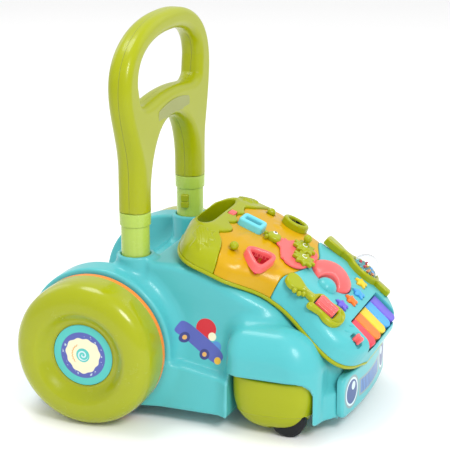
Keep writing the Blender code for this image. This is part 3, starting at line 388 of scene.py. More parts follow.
def make_rear_wheels():
    crest, tread, seat = 0.1770, 0.1515, HUB_X
    outer = np.linspace(0, 1, 26)
    shoulder = np.stack([0.058 + 0.027 * outer, tread + (crest - tread) * (1 - outer ** 2.4) ** (1 / 2.4)],
                        -1)
    inner = np.linspace(0, 1, 20)[1:]
    bowl = np.stack([0.058 - 0.0196 * inner, seat + (crest - seat) * (0.5 + 0.5 * np.cos(math.pi * inner))],
                    -1)
    lip = [(0.0376, seat + 0.0002), (0.0372, seat + 0.0008), (0.0368, seat + 0.0006), (0.0367, seat - 0.0021)]
    hub = [(0.0046, seat - 0.0024), (0.0046, 0.1341), (0.0780, 0.1341), (0.0846, 0.1341), (0.0850, 0.1345)]
    profile = np.concatenate([shoulder[::-1], bowl, lip, hub])
    rim = rounded_profile([(0.0046, 0.1265), (0.0838, 0.1265), (0.0847, 0.1274), (0.0847, 0.1328),
                           (0.0838, 0.1336),
                           (0.0046, 0.1336)], 0.0006, 3)
    cap = rounded_profile([(0.0003, seat - 0.0018), (0.0362, seat - 0.0018), (0.0362, seat + 0.0002),
                           (0.0003, seat + 0.0006)], 0.0005, 3)
    for side, sign in (("left", -1), ("right", 1)):
        body = "rear_wheel_" + side
        centre = (REAR_Y, REAR_RADIUS)
        turned("disc_" + side, profile, centre, sign, "lime_wheel", body, ["rear_wheel_" + side])
        turned("rim_ring_" + side, rim, centre, sign, "orange", body, ["rear_rim_" + side])
        turned("hub_disc_" + side, cap, centre, sign, "hub_picture", body, ["hub_cap_" + side])


def make_front_wheels(step):
    half = FRONT_WIDTH / 2
    tyre = [(0.0034, -half), (0.0165, -half), (0.0200, -half + 0.0030), (0.0200, -0.0016), (0.0192, -0.0010),
            (0.0192, 0.0010), (0.0200, 0.0016), (0.0200, half - 0.0030), (0.0165, half), (0.0034, half)]
    profile = rounded_profile(tyre, 0.0012, 4) + (0, FRONT_X)
    for side, sign in (("left", -1), ("right", 1)):
        turned("roller_wheel_" + side, profile, (FRONT_Y, FRONT_RADIUS), sign, "black", "front_wheel_" + side,
               ["front_wheel_" + side])
        pin = np.array([(0.0, 0.0985), (0.0024, 0.0985), (0.0024, 0.1215), (0.0, 0.1215)])
        turned("wheel_pin_" + side, pin, (FRONT_Y, FRONT_RADIUS), sign, "steel", "base",
               ["front_axle_" + side], 24)
        moulding("cowl_" + side, cowl_solid, (0.072, -0.146, 0.004), (0.134, -0.044, 0.072), step, "lime",
                 "base",
                 ["wheel_cowl_" + side], place=lambda p, s=sign: p * (s, 1, 1))


def cowl_solid(x, y, z):
    """A round-bottomed bucket of power curves of 2.6, with a fine rib round it and a slot for the wheel."""
    rib = 0.0007 * np.exp(-((z - 0.0285 + 0.04 * (y + 0.1)) / 0.0008) ** 2)
    across, along, down = (x - 0.1020) / 0.0288, (y + 0.0940) / 0.0482, np.minimum(z - 0.0560, 0) / 0.0500
    reach = (np.abs(across) ** 2.8 + np.abs(along) ** 2.8 + np.abs(down) ** 2.4 + 1e-9) ** (1 / 2.6)
    bucket = (reach - 1) * 0.030 - rib
    bucket = both(bucket, z - 0.0695, 0.002)
    slot = np.maximum(np.hypot(y - FRONT_Y, z - FRONT_RADIUS) - FRONT_RADIUS - 0.003,
                      np.abs(x - FRONT_X) - FRONT_WIDTH / 2 - 0.0012)
    return without(bucket, slot, 0.0008)


# ------------------------------------------------------------------ handle

def handle_outline():
    """The outer outline with both legs, and the upper opening, in XZ, from power curves of 2.2 and 2.3."""
    leg_out, leg_in = LEG_X + LEG_HALF_WIDTH, LEG_X - LEG_HALF_WIDTH
    foot = LEG_BOTTOM - 0.030
    top = power_curve(HANDLE_HALF_WIDTH, HANDLE_TOP - LOOP_CENTRE, LOOP_CENTRE, 0, math.pi, 2.3, 60)
    share = np.linspace(0, 1, 22)[1:]
    flare = np.stack([HANDLE_HALF_WIDTH + (leg_out - HANDLE_HALF_WIDTH) * smooth_step(share, 0, 1),
                      LOOP_CENTRE + (0.280 - LOOP_CENTRE) * share], -1)
    inner = power_curve(leg_in, 0.078, 0.250, 0, math.pi, 2.2, 50)
    feet = np.array([(-leg_out, foot), (-leg_in, foot)])
    outer = np.concatenate([top, flare * (-1, 1), feet, inner[::-1], feet[::-1] * (-1, 1), flare[::-1]])
    crown = power_curve(0.0905, 0.045, 0.383, 0, math.pi, 2.3, 50)
    x = np.linspace(-0.0905, 0.0905, 42)[1:-1]
    sill = 0.3615 - 0.0095 * (x / 0.08) ** 2 + 0.018 * (np.abs(x) / 0.0905) ** 8
    return outer, np.concatenate([crown, np.stack([x, sill], -1)])


def make_handle(step):
    """One ring with rounded edges, flatter in front, cut into two shells along the parting plane."""
    outer, hole = handle_outline()

    def solid(x, y, z):
        flat = np.maximum(outline_distance(x, z, outer), -outline_distance(x, z, hole))
        middle = LEG_Y + 0.0025 * smooth_step(z, 0.30, 0.42)
        depth = 0.0176 - 0.0028 * smooth_step(z, 0.27, 0.37)
        foot = smooth_step(z, 0.330, 0.260)
        radius = np.where(y < middle, 0.0095 + 0.0045 * foot, 0.0130 + 0.0010 * foot)
        return both(both(flat, np.abs(y - middle) - depth, radius), LEG_BOTTOM - z, 0.0008)

    points, faces = skin(solid, (-0.125, 0.064, 0.235), (0.125, 0.104, 0.453), step)
    points = settle(points, solid, step)
    for name, sign, nodes in (("grip_front", 1, ["handle_front"]), ("grip_back", -1, ["handle_back"])):
        mesh = bpy.data.meshes.new(name)
        mesh.from_pydata(points.tolist(), [], faces.tolist())
        bm = bmesh.new()
        bm.from_mesh(mesh)
        plane = (0, LEG_Y - sign * 0.00018, 0)
        cut = bmesh.ops.bisect_plane(bm, geom=bm.verts[:] + bm.edges[:] + bm.faces[:], dist=1e-6,
                                     plane_co=plane,
                                     plane_no=(0, sign, 0), clear_outer=True)
        rim = [e for e in cut["geom_cut"] if isinstance(e, bmesh.types.BMEdge)]
        bmesh.ops.triangle_fill(bm, edges=rim, use_beauty=True)
        bmesh.ops.recalc_face_normals(bm, faces=bm.faces)
        bm.to_mesh(mesh)
        bm.free()
        dress(name, mesh, "lime", "handle", nodes, sharp=45)

    def badge(x, y, z):
        lift = z + x * x / 0.36
        flat = block(x, 0 * y, lift, (0, 0, 0.34125), (0.0465, 1.0, 0.0080), 0.0035)
        return both(flat, np.abs(y - 0.0694) - 0.0006, 0.0003)

    moulding("bridge_inlay", badge, (-0.048, 0.0680, 0.325), (0.048, 0.0705, 0.351), 0.0007, "inlay",
             "handle",
             ["handle_badge"])


def upright(name, profile, sign, finish, body, replaces, seam=0.0, seam_at=0.0):
    """A closed profile of (radius, height) about a leg's axis, with a shallow groove down one line of it."""
    grid = spun(profile, 72)
    height, a, b = np.moveaxis(grid, -1, 0)
    angle = np.arctan2(b, a)
    away = (angle - seam_at + math.pi) % (2 * math.pi) - math.pi
    scale = 1 - seam / TUBE_RADIUS * np.exp(-(away / 0.045) ** 2)
    points = np.stack([LEG_X + a * scale, LEG_Y + b * scale, height], -1).reshape(-1, 3) * (sign, 1, 1)
    return piece(name, points, outward(points, loop_faces(72, len(profile))), finish, body, replaces, 40)


def make_tubes():
    inside = TUBE_RADIUS - 0.0026
    tube = rounded_profile([(inside, 0.041), (TUBE_RADIUS, 0.041), (TUBE_RADIUS, 0.2357), (inside, 0.2357)],
                           0.0006, 3)
    ring = TUBE_RADIUS + 0.0018
    collar = rounded_profile([(TUBE_RADIUS + 0.0003, COLLAR_BOTTOM), (ring - 0.0002, COLLAR_BOTTOM),
                              (ring, 0.2357), (TUBE_RADIUS + 0.0003, 0.2357)], 0.0006, 4)
    for side, sign in (("left", -1), ("right", 1)):
        upright("tube_sleeve_" + side, tube, sign, "pale_lime", "base", ["tube_" + side], 0.0006,
                math.radians(-26))
        upright("tube_collar_" + side, collar, sign, "pale_lime", "base", ["collar_" + side], 0.0003,
                math.radians(-26))

        def button(x, y, z):
            body = block(x, y, z, (LEG_X - TUBE_RADIUS - 0.0005, LEG_Y, 0.205), (0.0035, 0.0048, 0.0085),
                         0.0012)
            return body + 0.0007 * smooth_step(np.abs(z - 0.2045), 0.0012, 0.0003)

        moulding("latch_" + side, button, (0.062, 0.077, 0.194), (0.074, 0.091, 0.216), 0.0006, "lime",
                 "latch_" + side,
                 ["latch_button_" + side], place=lambda p, s=sign: p * (s, 1, 1))
# ------------------------------------------------------------------ shader kit

class Value:
    """A shader socket that numbers and other sockets can be added to, multiplied by and so on."""

    def __init__(self, finish, socket):
        self.finish, self.socket = finish, socket

    def math(self, operation, *others):
        return self.finish.node("ShaderNodeMath", {"operation": operation}, [self, *others])

    def __add__(self, other):
        return self.math("ADD", other)

    def __sub__(self, other):
        return self.math("SUBTRACT", other)

    def __mul__(self, other):
        return self.math("MULTIPLY", other)

    def __truediv__(self, other):
        return self.math("DIVIDE", other)

    def __rsub__(self, other):
        return (self * -1.0) + other

    def __pow__(self, other):
        return self.math("POWER", other)

    __radd__, __rmul__ = __add__, __mul__

    def step(self, low, high):
        """0 below low, 1 above high, eased between."""
        settings = {"interpolation_type": "SMOOTHSTEP"}
        return self.finish.node("ShaderNodeMapRange", settings,
                                {"Value": self, "From Min": low, "From Max": high})

    def most(self, other):
        return self.math("MAXIMUM", other)

    def size(self):
        return self.math("ABSOLUTE")


class Finish:
    """A material being built round one Principled shader."""

    def __init__(self, name):
        self.material = bpy.data.materials.new(name)
        self.material.use_nodes = True
        self.tree = self.material.node_tree
        self.tree.nodes.clear()
        self.out = self.tree.nodes.new("ShaderNodeOutputMaterial")
        self.shader = self.tree.nodes.new("ShaderNodeBsdfPrincipled")
        self.tree.links.new(self.shader.outputs[0], self.out.inputs["Surface"])
        self.place = self.node("ShaderNodeTexCoord", output="Object")

    def node(self, kind, settings=None, inputs=None, output=0):
        """Adds a node: its settings first, then its inputs by name or place, returning one output."""
        node = self.tree.nodes.new(kind)
        for key, value in (settings or {}).items():
            setattr(node, key, value)
        pairs = inputs.items() if isinstance(inputs, dict) else enumerate(inputs or [])
        for key, value in pairs:
            self.feed(node.inputs[key], value)
        return Value(self, node.outputs[output])

    def feed(self, socket, value):
        if isinstance(value, Value):
            self.tree.links.new(value.socket, socket)
        else:
            socket.default_value = (*value, 1.0) if socket.type == "RGBA" and len(value) == 3 else value

    def set(self, **inputs):
        for key, value in inputs.items():
            self.feed(self.shader.inputs[key.replace("_", " ")], value)

    def noise(self, scale, detail=3.0, rough=0.5, stretch=None):
        place = self.place
        if stretch:
            place = self.node("ShaderNodeVectorMath", {"operation": "MULTIPLY"}, [place, stretch])
        inputs = {"Vector": place, "Scale": scale, "Detail": detail, "Roughness": rough}
        return self.node("ShaderNodeTexNoise", inputs=inputs)

    def mix(self, share, a, b):
        """Colour a where share is 0, b where it is 1."""
        node = self.tree.nodes.new("ShaderNodeMix")
        node.data_type, node.clamp_factor = "RGBA", True
        for socket, value in zip([node.inputs[0], node.inputs[6], node.inputs[7]], (share, a, b)):
            self.feed(socket, value)
        return Value(self, node.outputs[2])

    def axes(self, place=None):
        """The three numbers of a place."""
        node = self.tree.nodes.new("ShaderNodeSeparateXYZ")
        self.feed(node.inputs[0], place or self.place)
        return [Value(self, out) for out in node.outputs]

    def bump(self, height, strength, distance):
        self.set(Normal=self.node("ShaderNodeBump", None, {"Height": height, "Strength": strength,
                                                           "Distance": distance}))

    def edge(self):
        """0 on flat ground, toward 1 on worn corners."""
        point = self.node("ShaderNodeNewGeometry", output="Pointiness")
        return point.step(0.515, 0.60)


def colour_of(red, green, blue):
    """Linear light of an sRGB colour given in 0 to 255."""
    share = np.array([red, green, blue]) / 255
    return tuple(np.where(share <= 0.04045, share / 12.92, ((share + 0.055) / 1.055) ** 2.4).tolist())


def moulded(name, colour, roughness=0.30, coat=0.12, grain=0.00004, through=0.0, picture=None):
    """Moulded plastic: slow tone drift, faint flow streaks, scuffs, rubbed edges and a fine skin grain."""
    finish = Finish(name)
    base = picture(finish) if picture else colour
    drift = finish.noise(9.0, 2.0).step(0.25, 0.75)
    streak = finish.noise(14.0, 4.0, 0.6, (1.0, 1.0, 6.0)).step(0.35, 0.75)
    scuff = finish.noise(240.0, 5.0, 0.65, (1.0, 0.25, 1.0)).step(0.62, 0.78) * finish.noise(11.0).step(0.48,
                                                                                                        0.72)
    dust = finish.noise(60.0, 4.0, 0.7).step(0.5, 0.8)
    tone = (drift * 0.07) + (streak * 0.03)
    body = finish.mix(tone, base, finish.mix(0.5, base, (0, 0, 0)))
    # Scuffs and dust are real marks; the lightening on sharp edges is partly wear and partly a painted
    # highlight.
    body = finish.mix(scuff * 0.05 + finish.edge() * 0.06 + dust * 0.012, body, (0.85, 0.85, 0.80))
    rough = finish.noise(35.0, 4.0, 0.6) * 0.12 + scuff * 0.25 + dust * 0.05 + (roughness - 0.06)
    finish.set(Base_Color=body, Metallic=0.0, IOR=1.45, Specular_IOR_Level=0.32,
               Coat_Weight=coat, Coat_Roughness=0.06, Roughness=rough)
    if through:
        finish.set(Subsurface_Weight=through, Subsurface_Radius=(0.004, 0.004, 0.002), Subsurface_Scale=0.5)
    finish.bump(finish.noise(1400.0, 2.0) + finish.noise(70.0, 3.0) * 2.0, 0.35, grain)
    return finish


def ring_share(distance, low, high, edge=0.0003):
    """1 where the distance lies between low and high."""
    return distance.step(low - edge, low + edge) - distance.step(high - edge, high + edge)


def hub_picture(finish):
    """A sticker in rings: teal, then purple-blue, then cream with a plain spiral."""
    _, y, z = finish.axes()
    across, up = y - REAR_Y, z - REAR_RADIUS
    reach = ((across * across) + (up * up)) ** 0.5
    turn = finish.node("ShaderNodeMath", {"operation": "ARCTAN2"}, [up, across])
    coil = ((reach * (TAU / 0.0042)) + turn).math("SINE").step(0.1, 0.4)
    core = finish.mix(coil * ring_share(reach, 0.0008, 0.0066), COLOURS["teal_ink"], COLOURS["pale_ink"])
    wave = reach - (turn * 11.0).math("SINE") * 0.0006 - (turn * 3.0).math("SINE") * 0.0009
    core = finish.mix(reach.step(0.0081, 0.0085), core, COLOURS["cream"])
    scallop = (turn * 26.0).math("SINE") * 0.0005 + 0.0132
    band = (reach - scallop).size().step(0.0009, 0.0004) * turn.step(-0.9, -0.6) * (1.0 - turn.step(0.9, 1.2))
    core = finish.mix(band, core, COLOURS["tan_ink"])
    ring = finish.mix(wave.step(0.0208, 0.0212), core, COLOURS["violet_ink"])
    specks = finish.noise(260.0, 2.0).step(0.60, 0.66) * ring_share(reach, 0.0225, 0.0255)
    ring = finish.mix(specks * 0.8, ring, COLOURS["pale_ink"])
    return finish.mix(reach.step(0.0272, 0.0278), ring, COLOURS["teal_ink"])


def side_picture(finish):
    """A plain toy car, leaning nose down, with a red dome on top: a power-four oval and round wheels."""
    x, y, z = finish.axes()
    across, up = y + 0.0030, z - 0.0950
    along = (across * -0.835) + (up * -0.550)
    rise = (across * -0.550) + (up * 0.835)

    def disc(s, t, radius):
        reach = (((along - s) ** 2.0) + ((rise - t) ** 2.0)) ** 0.5
        return reach.step(radius + 0.0003, radius - 0.0003)

    oval = (((along / 0.0325).size()) ** 4.0) + (((rise / 0.0088).size()) ** 4.0)
    picture = finish.mix(disc(-0.0035, 0.0165, 0.0122), COLOURS["turquoise"], COLOURS["red_ink"])
    picture = finish.mix(disc(0.0075, 0.0140, 0.0048), picture, COLOURS["cream"])
    picture = finish.mix(disc(0.0180, 0.0080, 0.0062), picture, COLOURS["sky_ink"])
    picture = finish.mix(oval.step(1.05, 0.95), picture, COLOURS["violet_ink"])
    picture = finish.mix(disc(0.0290, -0.0030, 0.0040), picture, COLOURS["lamp_ink"])
    for place in (-0.0175, 0.0125):
        picture = finish.mix(disc(place, -0.0075, 0.0060), picture, COLOURS["wheel_ink"])
        picture = finish.mix(disc(place, -0.0075, 0.0026), picture, COLOURS["tan_ink"])
    return finish.mix(x.size().step(0.0960, 0.0980), COLOURS["turquoise"], picture)


def nose_picture(finish):
    """Two ringed lamps and a curved bar between them, printed on a pale backing."""
    x, _, z = finish.axes()
    side, up = x.size() - 0.0610, z - 0.0430
    reach = ((side * side) + (up * up)) ** 0.5
    lift = z - 0.0370 - (x * x) * 1.6
    backing = (reach.step(0.0198, 0.0192)).most(x.size().step(0.0402, 0.0398) * lift.size().step(0.0112,
                                                                                                 0.0106))
    bar = x.size().step(0.0346, 0.0340) * lift.size().step(0.0086, 0.0080)
    slats = ((x * (TAU / 0.0056)).math("SINE")).step(-0.3, 0.0)
    glint = (((side + 0.0040) ** 2.0) + ((up - 0.0060) ** 2.0)) ** 0.5
    lens = finish.mix(glint.step(0.0052, 0.0048), COLOURS["slate_ink"], COLOURS["pale_ink"])
    lens = finish.mix(reach.step(0.0140, 0.0146), lens, COLOURS["pale_ink"])
    lens = finish.mix(reach.step(0.0164, 0.0170), lens, COLOURS["silver_ink"])
    picture = finish.mix(bar, COLOURS["silver_ink"],
                         finish.mix(slats, COLOURS["slate_ink"], COLOURS["sky_ink"]))
    picture = finish.mix(reach.step(0.0198, 0.0192), picture, lens)
    front = finish.axes(finish.node("ShaderNodeNewGeometry", output="Normal"))[1].step(-0.55, -0.8)
    return finish.mix(backing * front, COLOURS["turquoise"], picture)


def clear_finish(name, colour):
    """A clear blown dome: nearly no body colour, smooth, with faint streaks."""
    finish = Finish(name)
    finish.set(Base_Color=colour, Transmission_Weight=1.0, IOR=1.42,
               Roughness=finish.noise(30.0, 3.0) * 0.05 + 0.01, Coat_Weight=0.3, Coat_Roughness=0.03)
    finish.bump(finish.noise(60.0, 2.0), 0.1, 0.00005)
    return finish


def steel_finish(name, colour):
    """Zinc-plated rod: brushed along its length, with duller patches."""
    finish = Finish(name)
    brushed = finish.noise(300.0, 4.0, 0.6, (1.0, 1.0, 0.03))
    patch = finish.noise(25.0, 3.0)
    finish.set(Base_Color=finish.mix(patch * 0.5, colour, finish.mix(brushed, (0.35, 0.35, 0.37), colour)),
               Metallic=1.0, Roughness=brushed * 0.15 + patch * 0.2 + 0.15)
    finish.bump(brushed, 0.3, 0.00003)
    return finish


def floor_finish(name, colour):
    finish = Finish(name)
    paper = finish.noise(3.0, 4.0)
    finish.set(Base_Color=finish.mix(paper * 0.02, colour, (0.80, 0.82, 0.82)), Roughness=paper * 0.1 + 0.6)
    finish.bump(finish.noise(900.0, 2.0), 0.05, 0.0001)
    return finish


# Navy and deep red, and black in the round well, are painted shade inside the shape-sorter wells, not the
# plastic's own colours.
PALETTE = {
    "turquoise": (82, 182, 187), "lime": (158, 166, 0), "pale_lime": (170, 196, 80), "yellow": (202, 156, 0),
    "orange": (248, 140, 44), "coral": (246, 104, 104), "deep_red": (215, 40, 58), "red": (232, 60, 78),
    "key_orange": (255, 122, 40), "key_yellow": (240, 202, 48), "blue": (74, 166, 232),
    "purple": (112, 98, 208),
    "sky": (112, 208, 222), "black": (24, 26, 30), "navy": (24, 34, 76), "inlay": (150, 156, 92),
    "cream": (238, 232, 200), "teal_ink": (86, 196, 190), "violet_ink": (88, 98, 176),
    "sky_ink": (84, 142, 206),
    "slate_ink": (58, 84, 140), "silver_ink": (132, 156, 160), "pale_ink": (206, 226, 232),
    "white": (240, 242, 240), "steel": (190, 192, 196),
    "tan_ink": (222, 170, 98), "wheel_ink": (62, 68, 128), "red_ink": (206, 40, 52),
    "lamp_ink": (238, 190, 70), "board_green": (30, 96, 60), "floor": (252, 252, 252),
}


PLAIN = ("turquoise", "lime", "yellow", "orange", "coral", "deep_red", "red", "key_orange", "key_yellow",
         "blue",
         "purple", "sky", "navy", "white")
SPECIAL = {
    "pale_lime": ("pale_lime", {"roughness": 0.26, "coat": 0.35, "through": 0.08}),
    "lime_wheel": ("lime", {"roughness": 0.24, "coat": 0.35}),
    "inlay": ("inlay", {"roughness": 0.42, "coat": 0.0, "grain": 0.00005}),
    "board_green": ("board_green", {"roughness": 0.35}),
    "black": ("black", {"roughness": 0.55, "coat": 0.0, "grain": 0.00006}),
    "hub_picture": ("cream", {"roughness": 0.34, "coat": 0.1, "grain": 0.00001, "picture": hub_picture}),
    "side_picture": ("turquoise", {"picture": side_picture}),
    "nose_picture": ("turquoise", {"coat": 0.2, "picture": nose_picture}),
}


def make_finishes(colours):
    COLOURS.update({name: colour_of(*rgb) for name, rgb in PALETTE.items()})
    COLOURS.update(colours, clear=(0.97, 0.98, 1.0))
    for name in PLAIN:
        FINISHES[name] = moulded(name, COLOURS[name]).material
    for name, (colour, settings) in SPECIAL.items():
        FINISHES[name] = moulded(name, COLOURS[colour], **settings).material
    for name, make in (("clear", clear_finish), ("steel", steel_finish), ("floor", floor_finish)):
        FINISHES[name] = make(name, COLOURS[name]).material


# ------------------------------------------------------------------ activity panel

class Chart:
    """An outline's signed distance, worked out once on a fine flat grid and read between its points."""

    def __init__(self, low, high, *outlines, holes=(), step=0.0005):
        u = np.arange(low[0], high[0] + step, step)[:, None]
        v = np.arange(low[1], high[1] + step, step)[None, :]
        best = np.inf
        for outline in outlines:
            best = np.minimum(best, outline_distance(u, v, outline))
        for hole in holes:
            best = np.maximum(best, -outline_distance(u, v, hole))
        self.low, self.step, self.values = low, step, best

    def __call__(self, u, v):
        a = np.clip((u - self.low[0]) / self.step, 0, self.values.shape[0] - 1.001)
        b = np.clip((v - self.low[1]) / self.step, 0, self.values.shape[1] - 1.001)
        i, j = a.astype(int), b.astype(int)
        s, t = a - i, b - j
        value = self.values
        near = value[i, j] * (1 - t) + value[i, j + 1] * t
        far = value[i + 1, j] * (1 - t) + value[i + 1, j + 1] * t
        return near * (1 - s) + far * s


def chart_of(*outlines, holes=(), margin=0.006, step=0.0003):
    points = np.concatenate([np.asarray(o, float) for o in outlines])
    return Chart(points.min(0) - margin, points.max(0) + margin, *outlines, holes=holes, step=step)


def rim_half_width(run):
    """Shoulder, waist and hip joined by eased steps, with rounded ends of power 2.4."""
    width = 0.102 - 0.022 * smooth_step(run, 0.175, 0.240) + 0.016 * smooth_step(run, 0.252, 0.325)
    for end in (PANEL_START + 0.052 - run, run - PANEL_END + 0.052):
        share = np.clip(end / 0.052, 0, 0.97)
        width = width * (1 - share ** 2.4) ** (1 / 2.4)
    return width


def rim_outline(grow=0.0):
    run = np.linspace(PANEL_START, PANEL_END, 90)
    half = rim_half_width(run) + grow
    middle = (PANEL_START + PANEL_END) / 2
    run = middle + (run - middle) * (1 + 2 * grow / (PANEL_END - PANEL_START))
    return np.concatenate([np.stack([half, run], -1), np.stack([-half, run], -1)[::-1]])


GRIP_EDGE = [(-0.125, 0.166), (-0.107, 0.170), (-0.091, 0.164), (-0.0705, 0.157), (-0.056, 0.1465),
             (-0.049, 0.1515),
             (-0.041, 0.1555), (-0.0335, 0.1545), (-0.023, 0.1455), (-0.0175, 0.1490), (-0.010, 0.1515),
             (0.002, 0.1450), (0.010, 0.1445), (0.019, 0.1495), (0.028, 0.1455), (0.038, 0.1440),
             (0.048, 0.1520),
             (0.063, 0.1570), (0.080, 0.1610), (0.105, 0.1660), (0.125, 0.1660)]
CONSOLE_EDGE = [(-0.125, 0.2580), (-0.100, 0.2530), (-0.085, 0.2440), (-0.0765, 0.2385), (-0.068, 0.2375),
                (-0.0595, 0.2400), (-0.045, 0.2450), (-0.030, 0.2480), (-0.016, 0.2500), (-0.002, 0.2520),
                (0.012, 0.2535), (0.024, 0.2520), (0.036, 0.2465), (0.050, 0.2410), (0.064, 0.2385),
                (0.080, 0.2400),
                (0.100, 0.2470), (0.125, 0.2500)]
SORTERS = {"square": (-0.0040, 0.1680), "triangle": (-0.0700, 0.2050), "round": (0.0600, 0.2030)}


def along(points, per_span=6):
    """An open curve through the points, from the closed one that passes through them forwards and back."""
    p = np.asarray(points, float)
    return smooth_loop(np.concatenate([p, p[::-1]]), per_span)[:(len(p) - 1) * per_span + 1]


def uphill(points, spot):
    """From a spot's own right-and-uphill frame to (x, run)."""
    p = np.asarray(points, float)
    return np.stack([spot[0] + p[:, 0], spot[1] - p[:, 1]], -1)


def rounded_rectangle(half_x, half_y, radius, centre=(0.0, 0.0)):
    corners = [(-half_x, -half_y), (half_x, -half_y), (half_x, half_y), (-half_x, half_y)]
    return rounded_profile(corners, radius, 6) + centre


def sorter_hole(kind, grow=0.0):
    """The hole's outline in its spot's right-and-uphill frame."""
    if kind == "square":
        return rounded_rectangle(0.0050 + grow * 1.15, 0.0092 + grow, 0.0018 + grow * 0.7)
    if kind == "triangle":
        a = np.radians([80, 200, 320])
        reach = 0.0160 + 2 * grow
        return rounded_profile(np.stack([reach * np.cos(a), reach * np.sin(a)], -1), 0.0040 + grow * 1.2, 6)
    return ring_points(0.0105 + grow, 48)


def carry_hole(grow=0.0):
    a = np.linspace(0, TAU, 60, endpoint=False)
    x = (0.0490 + grow) * np.sign(np.cos(a)) * np.abs(np.cos(a)) ** 0.75
    lift = (0.0120 + grow) * np.sin(a) - 2.0 * x * x + 0.0025
    return np.stack([x, 0.1205 - lift], -1)


def star(grow=0.0):
    return ring_points(0.0068 + grow, 50, wave=0.0019, lobes=5, turn=math.pi / 2)


PANEL_LOW, PANEL_HIGH = (-0.112, 0.090), (0.112, 0.388)


def panel_chart(*outlines, holes=()):
    return Chart(PANEL_LOW, PANEL_HIGH, *outlines, holes=holes, step=0.0006)


def bump_at(x, run, spot, size, height, turn=0.0):
    """A soft swelling: e to the minus fourth power of the distance in sizes from the spot."""
    dx, dr = x - spot[0], run - spot[1]
    a = (dx * math.cos(turn) + dr * math.sin(turn)) / size[0]
    b = (dr * math.cos(turn) - dx * math.sin(turn)) / size[1]
    return height * np.exp(-(a * a + b * b) ** 2)


LEAVES = {
    "near": [(-0.0730, 0.1215), (-0.0650, 0.1225), (-0.0590, 0.1235), (-0.0625, 0.1290), (-0.0600, 0.1330),
             (-0.0660, 0.1365), (-0.0600, 0.1430), (-0.0690, 0.1430), (-0.0760, 0.1500), (-0.0800, 0.1440),
             (-0.0880, 0.1500), (-0.0880, 0.1420), (-0.0960, 0.1420), (-0.0900, 0.1340), (-0.0930, 0.1270),
             (-0.0830, 0.1290)],
    "far": [(0.0680, 0.1230), (0.0745, 0.1255), (0.0810, 0.1290), (0.0830, 0.1350), (0.0880, 0.1430),
            (0.0800, 0.1420),
            (0.0760, 0.1480), (0.0690, 0.1430), (0.0620, 0.1440), (0.0630, 0.1370), (0.0580, 0.1330),
            (0.0640, 0.1290)],
}


SWELLS = (((-0.036, 0.172), (0.016, 0.005), 0.0011, 0.2), ((-0.010, 0.196), (0.014, 0.005), 0.0011, -0.2),
          ((-0.062, 0.232), (0.009, 0.006), 0.0013), ((0.040, 0.163), (0.013, 0.004), 0.0010),
          ((0.034, 0.190), (0.006, 0.006), 0.0012), ((0.078, 0.186), (0.006, 0.009), 0.0011),
          ((-0.086, 0.190), (0.006, 0.006), 0.0012))


def side_fall(x):
    """How far the panel's skin drops towards its sides."""
    return 0.0090 * smooth_step(np.abs(x), 0.042, 0.098)


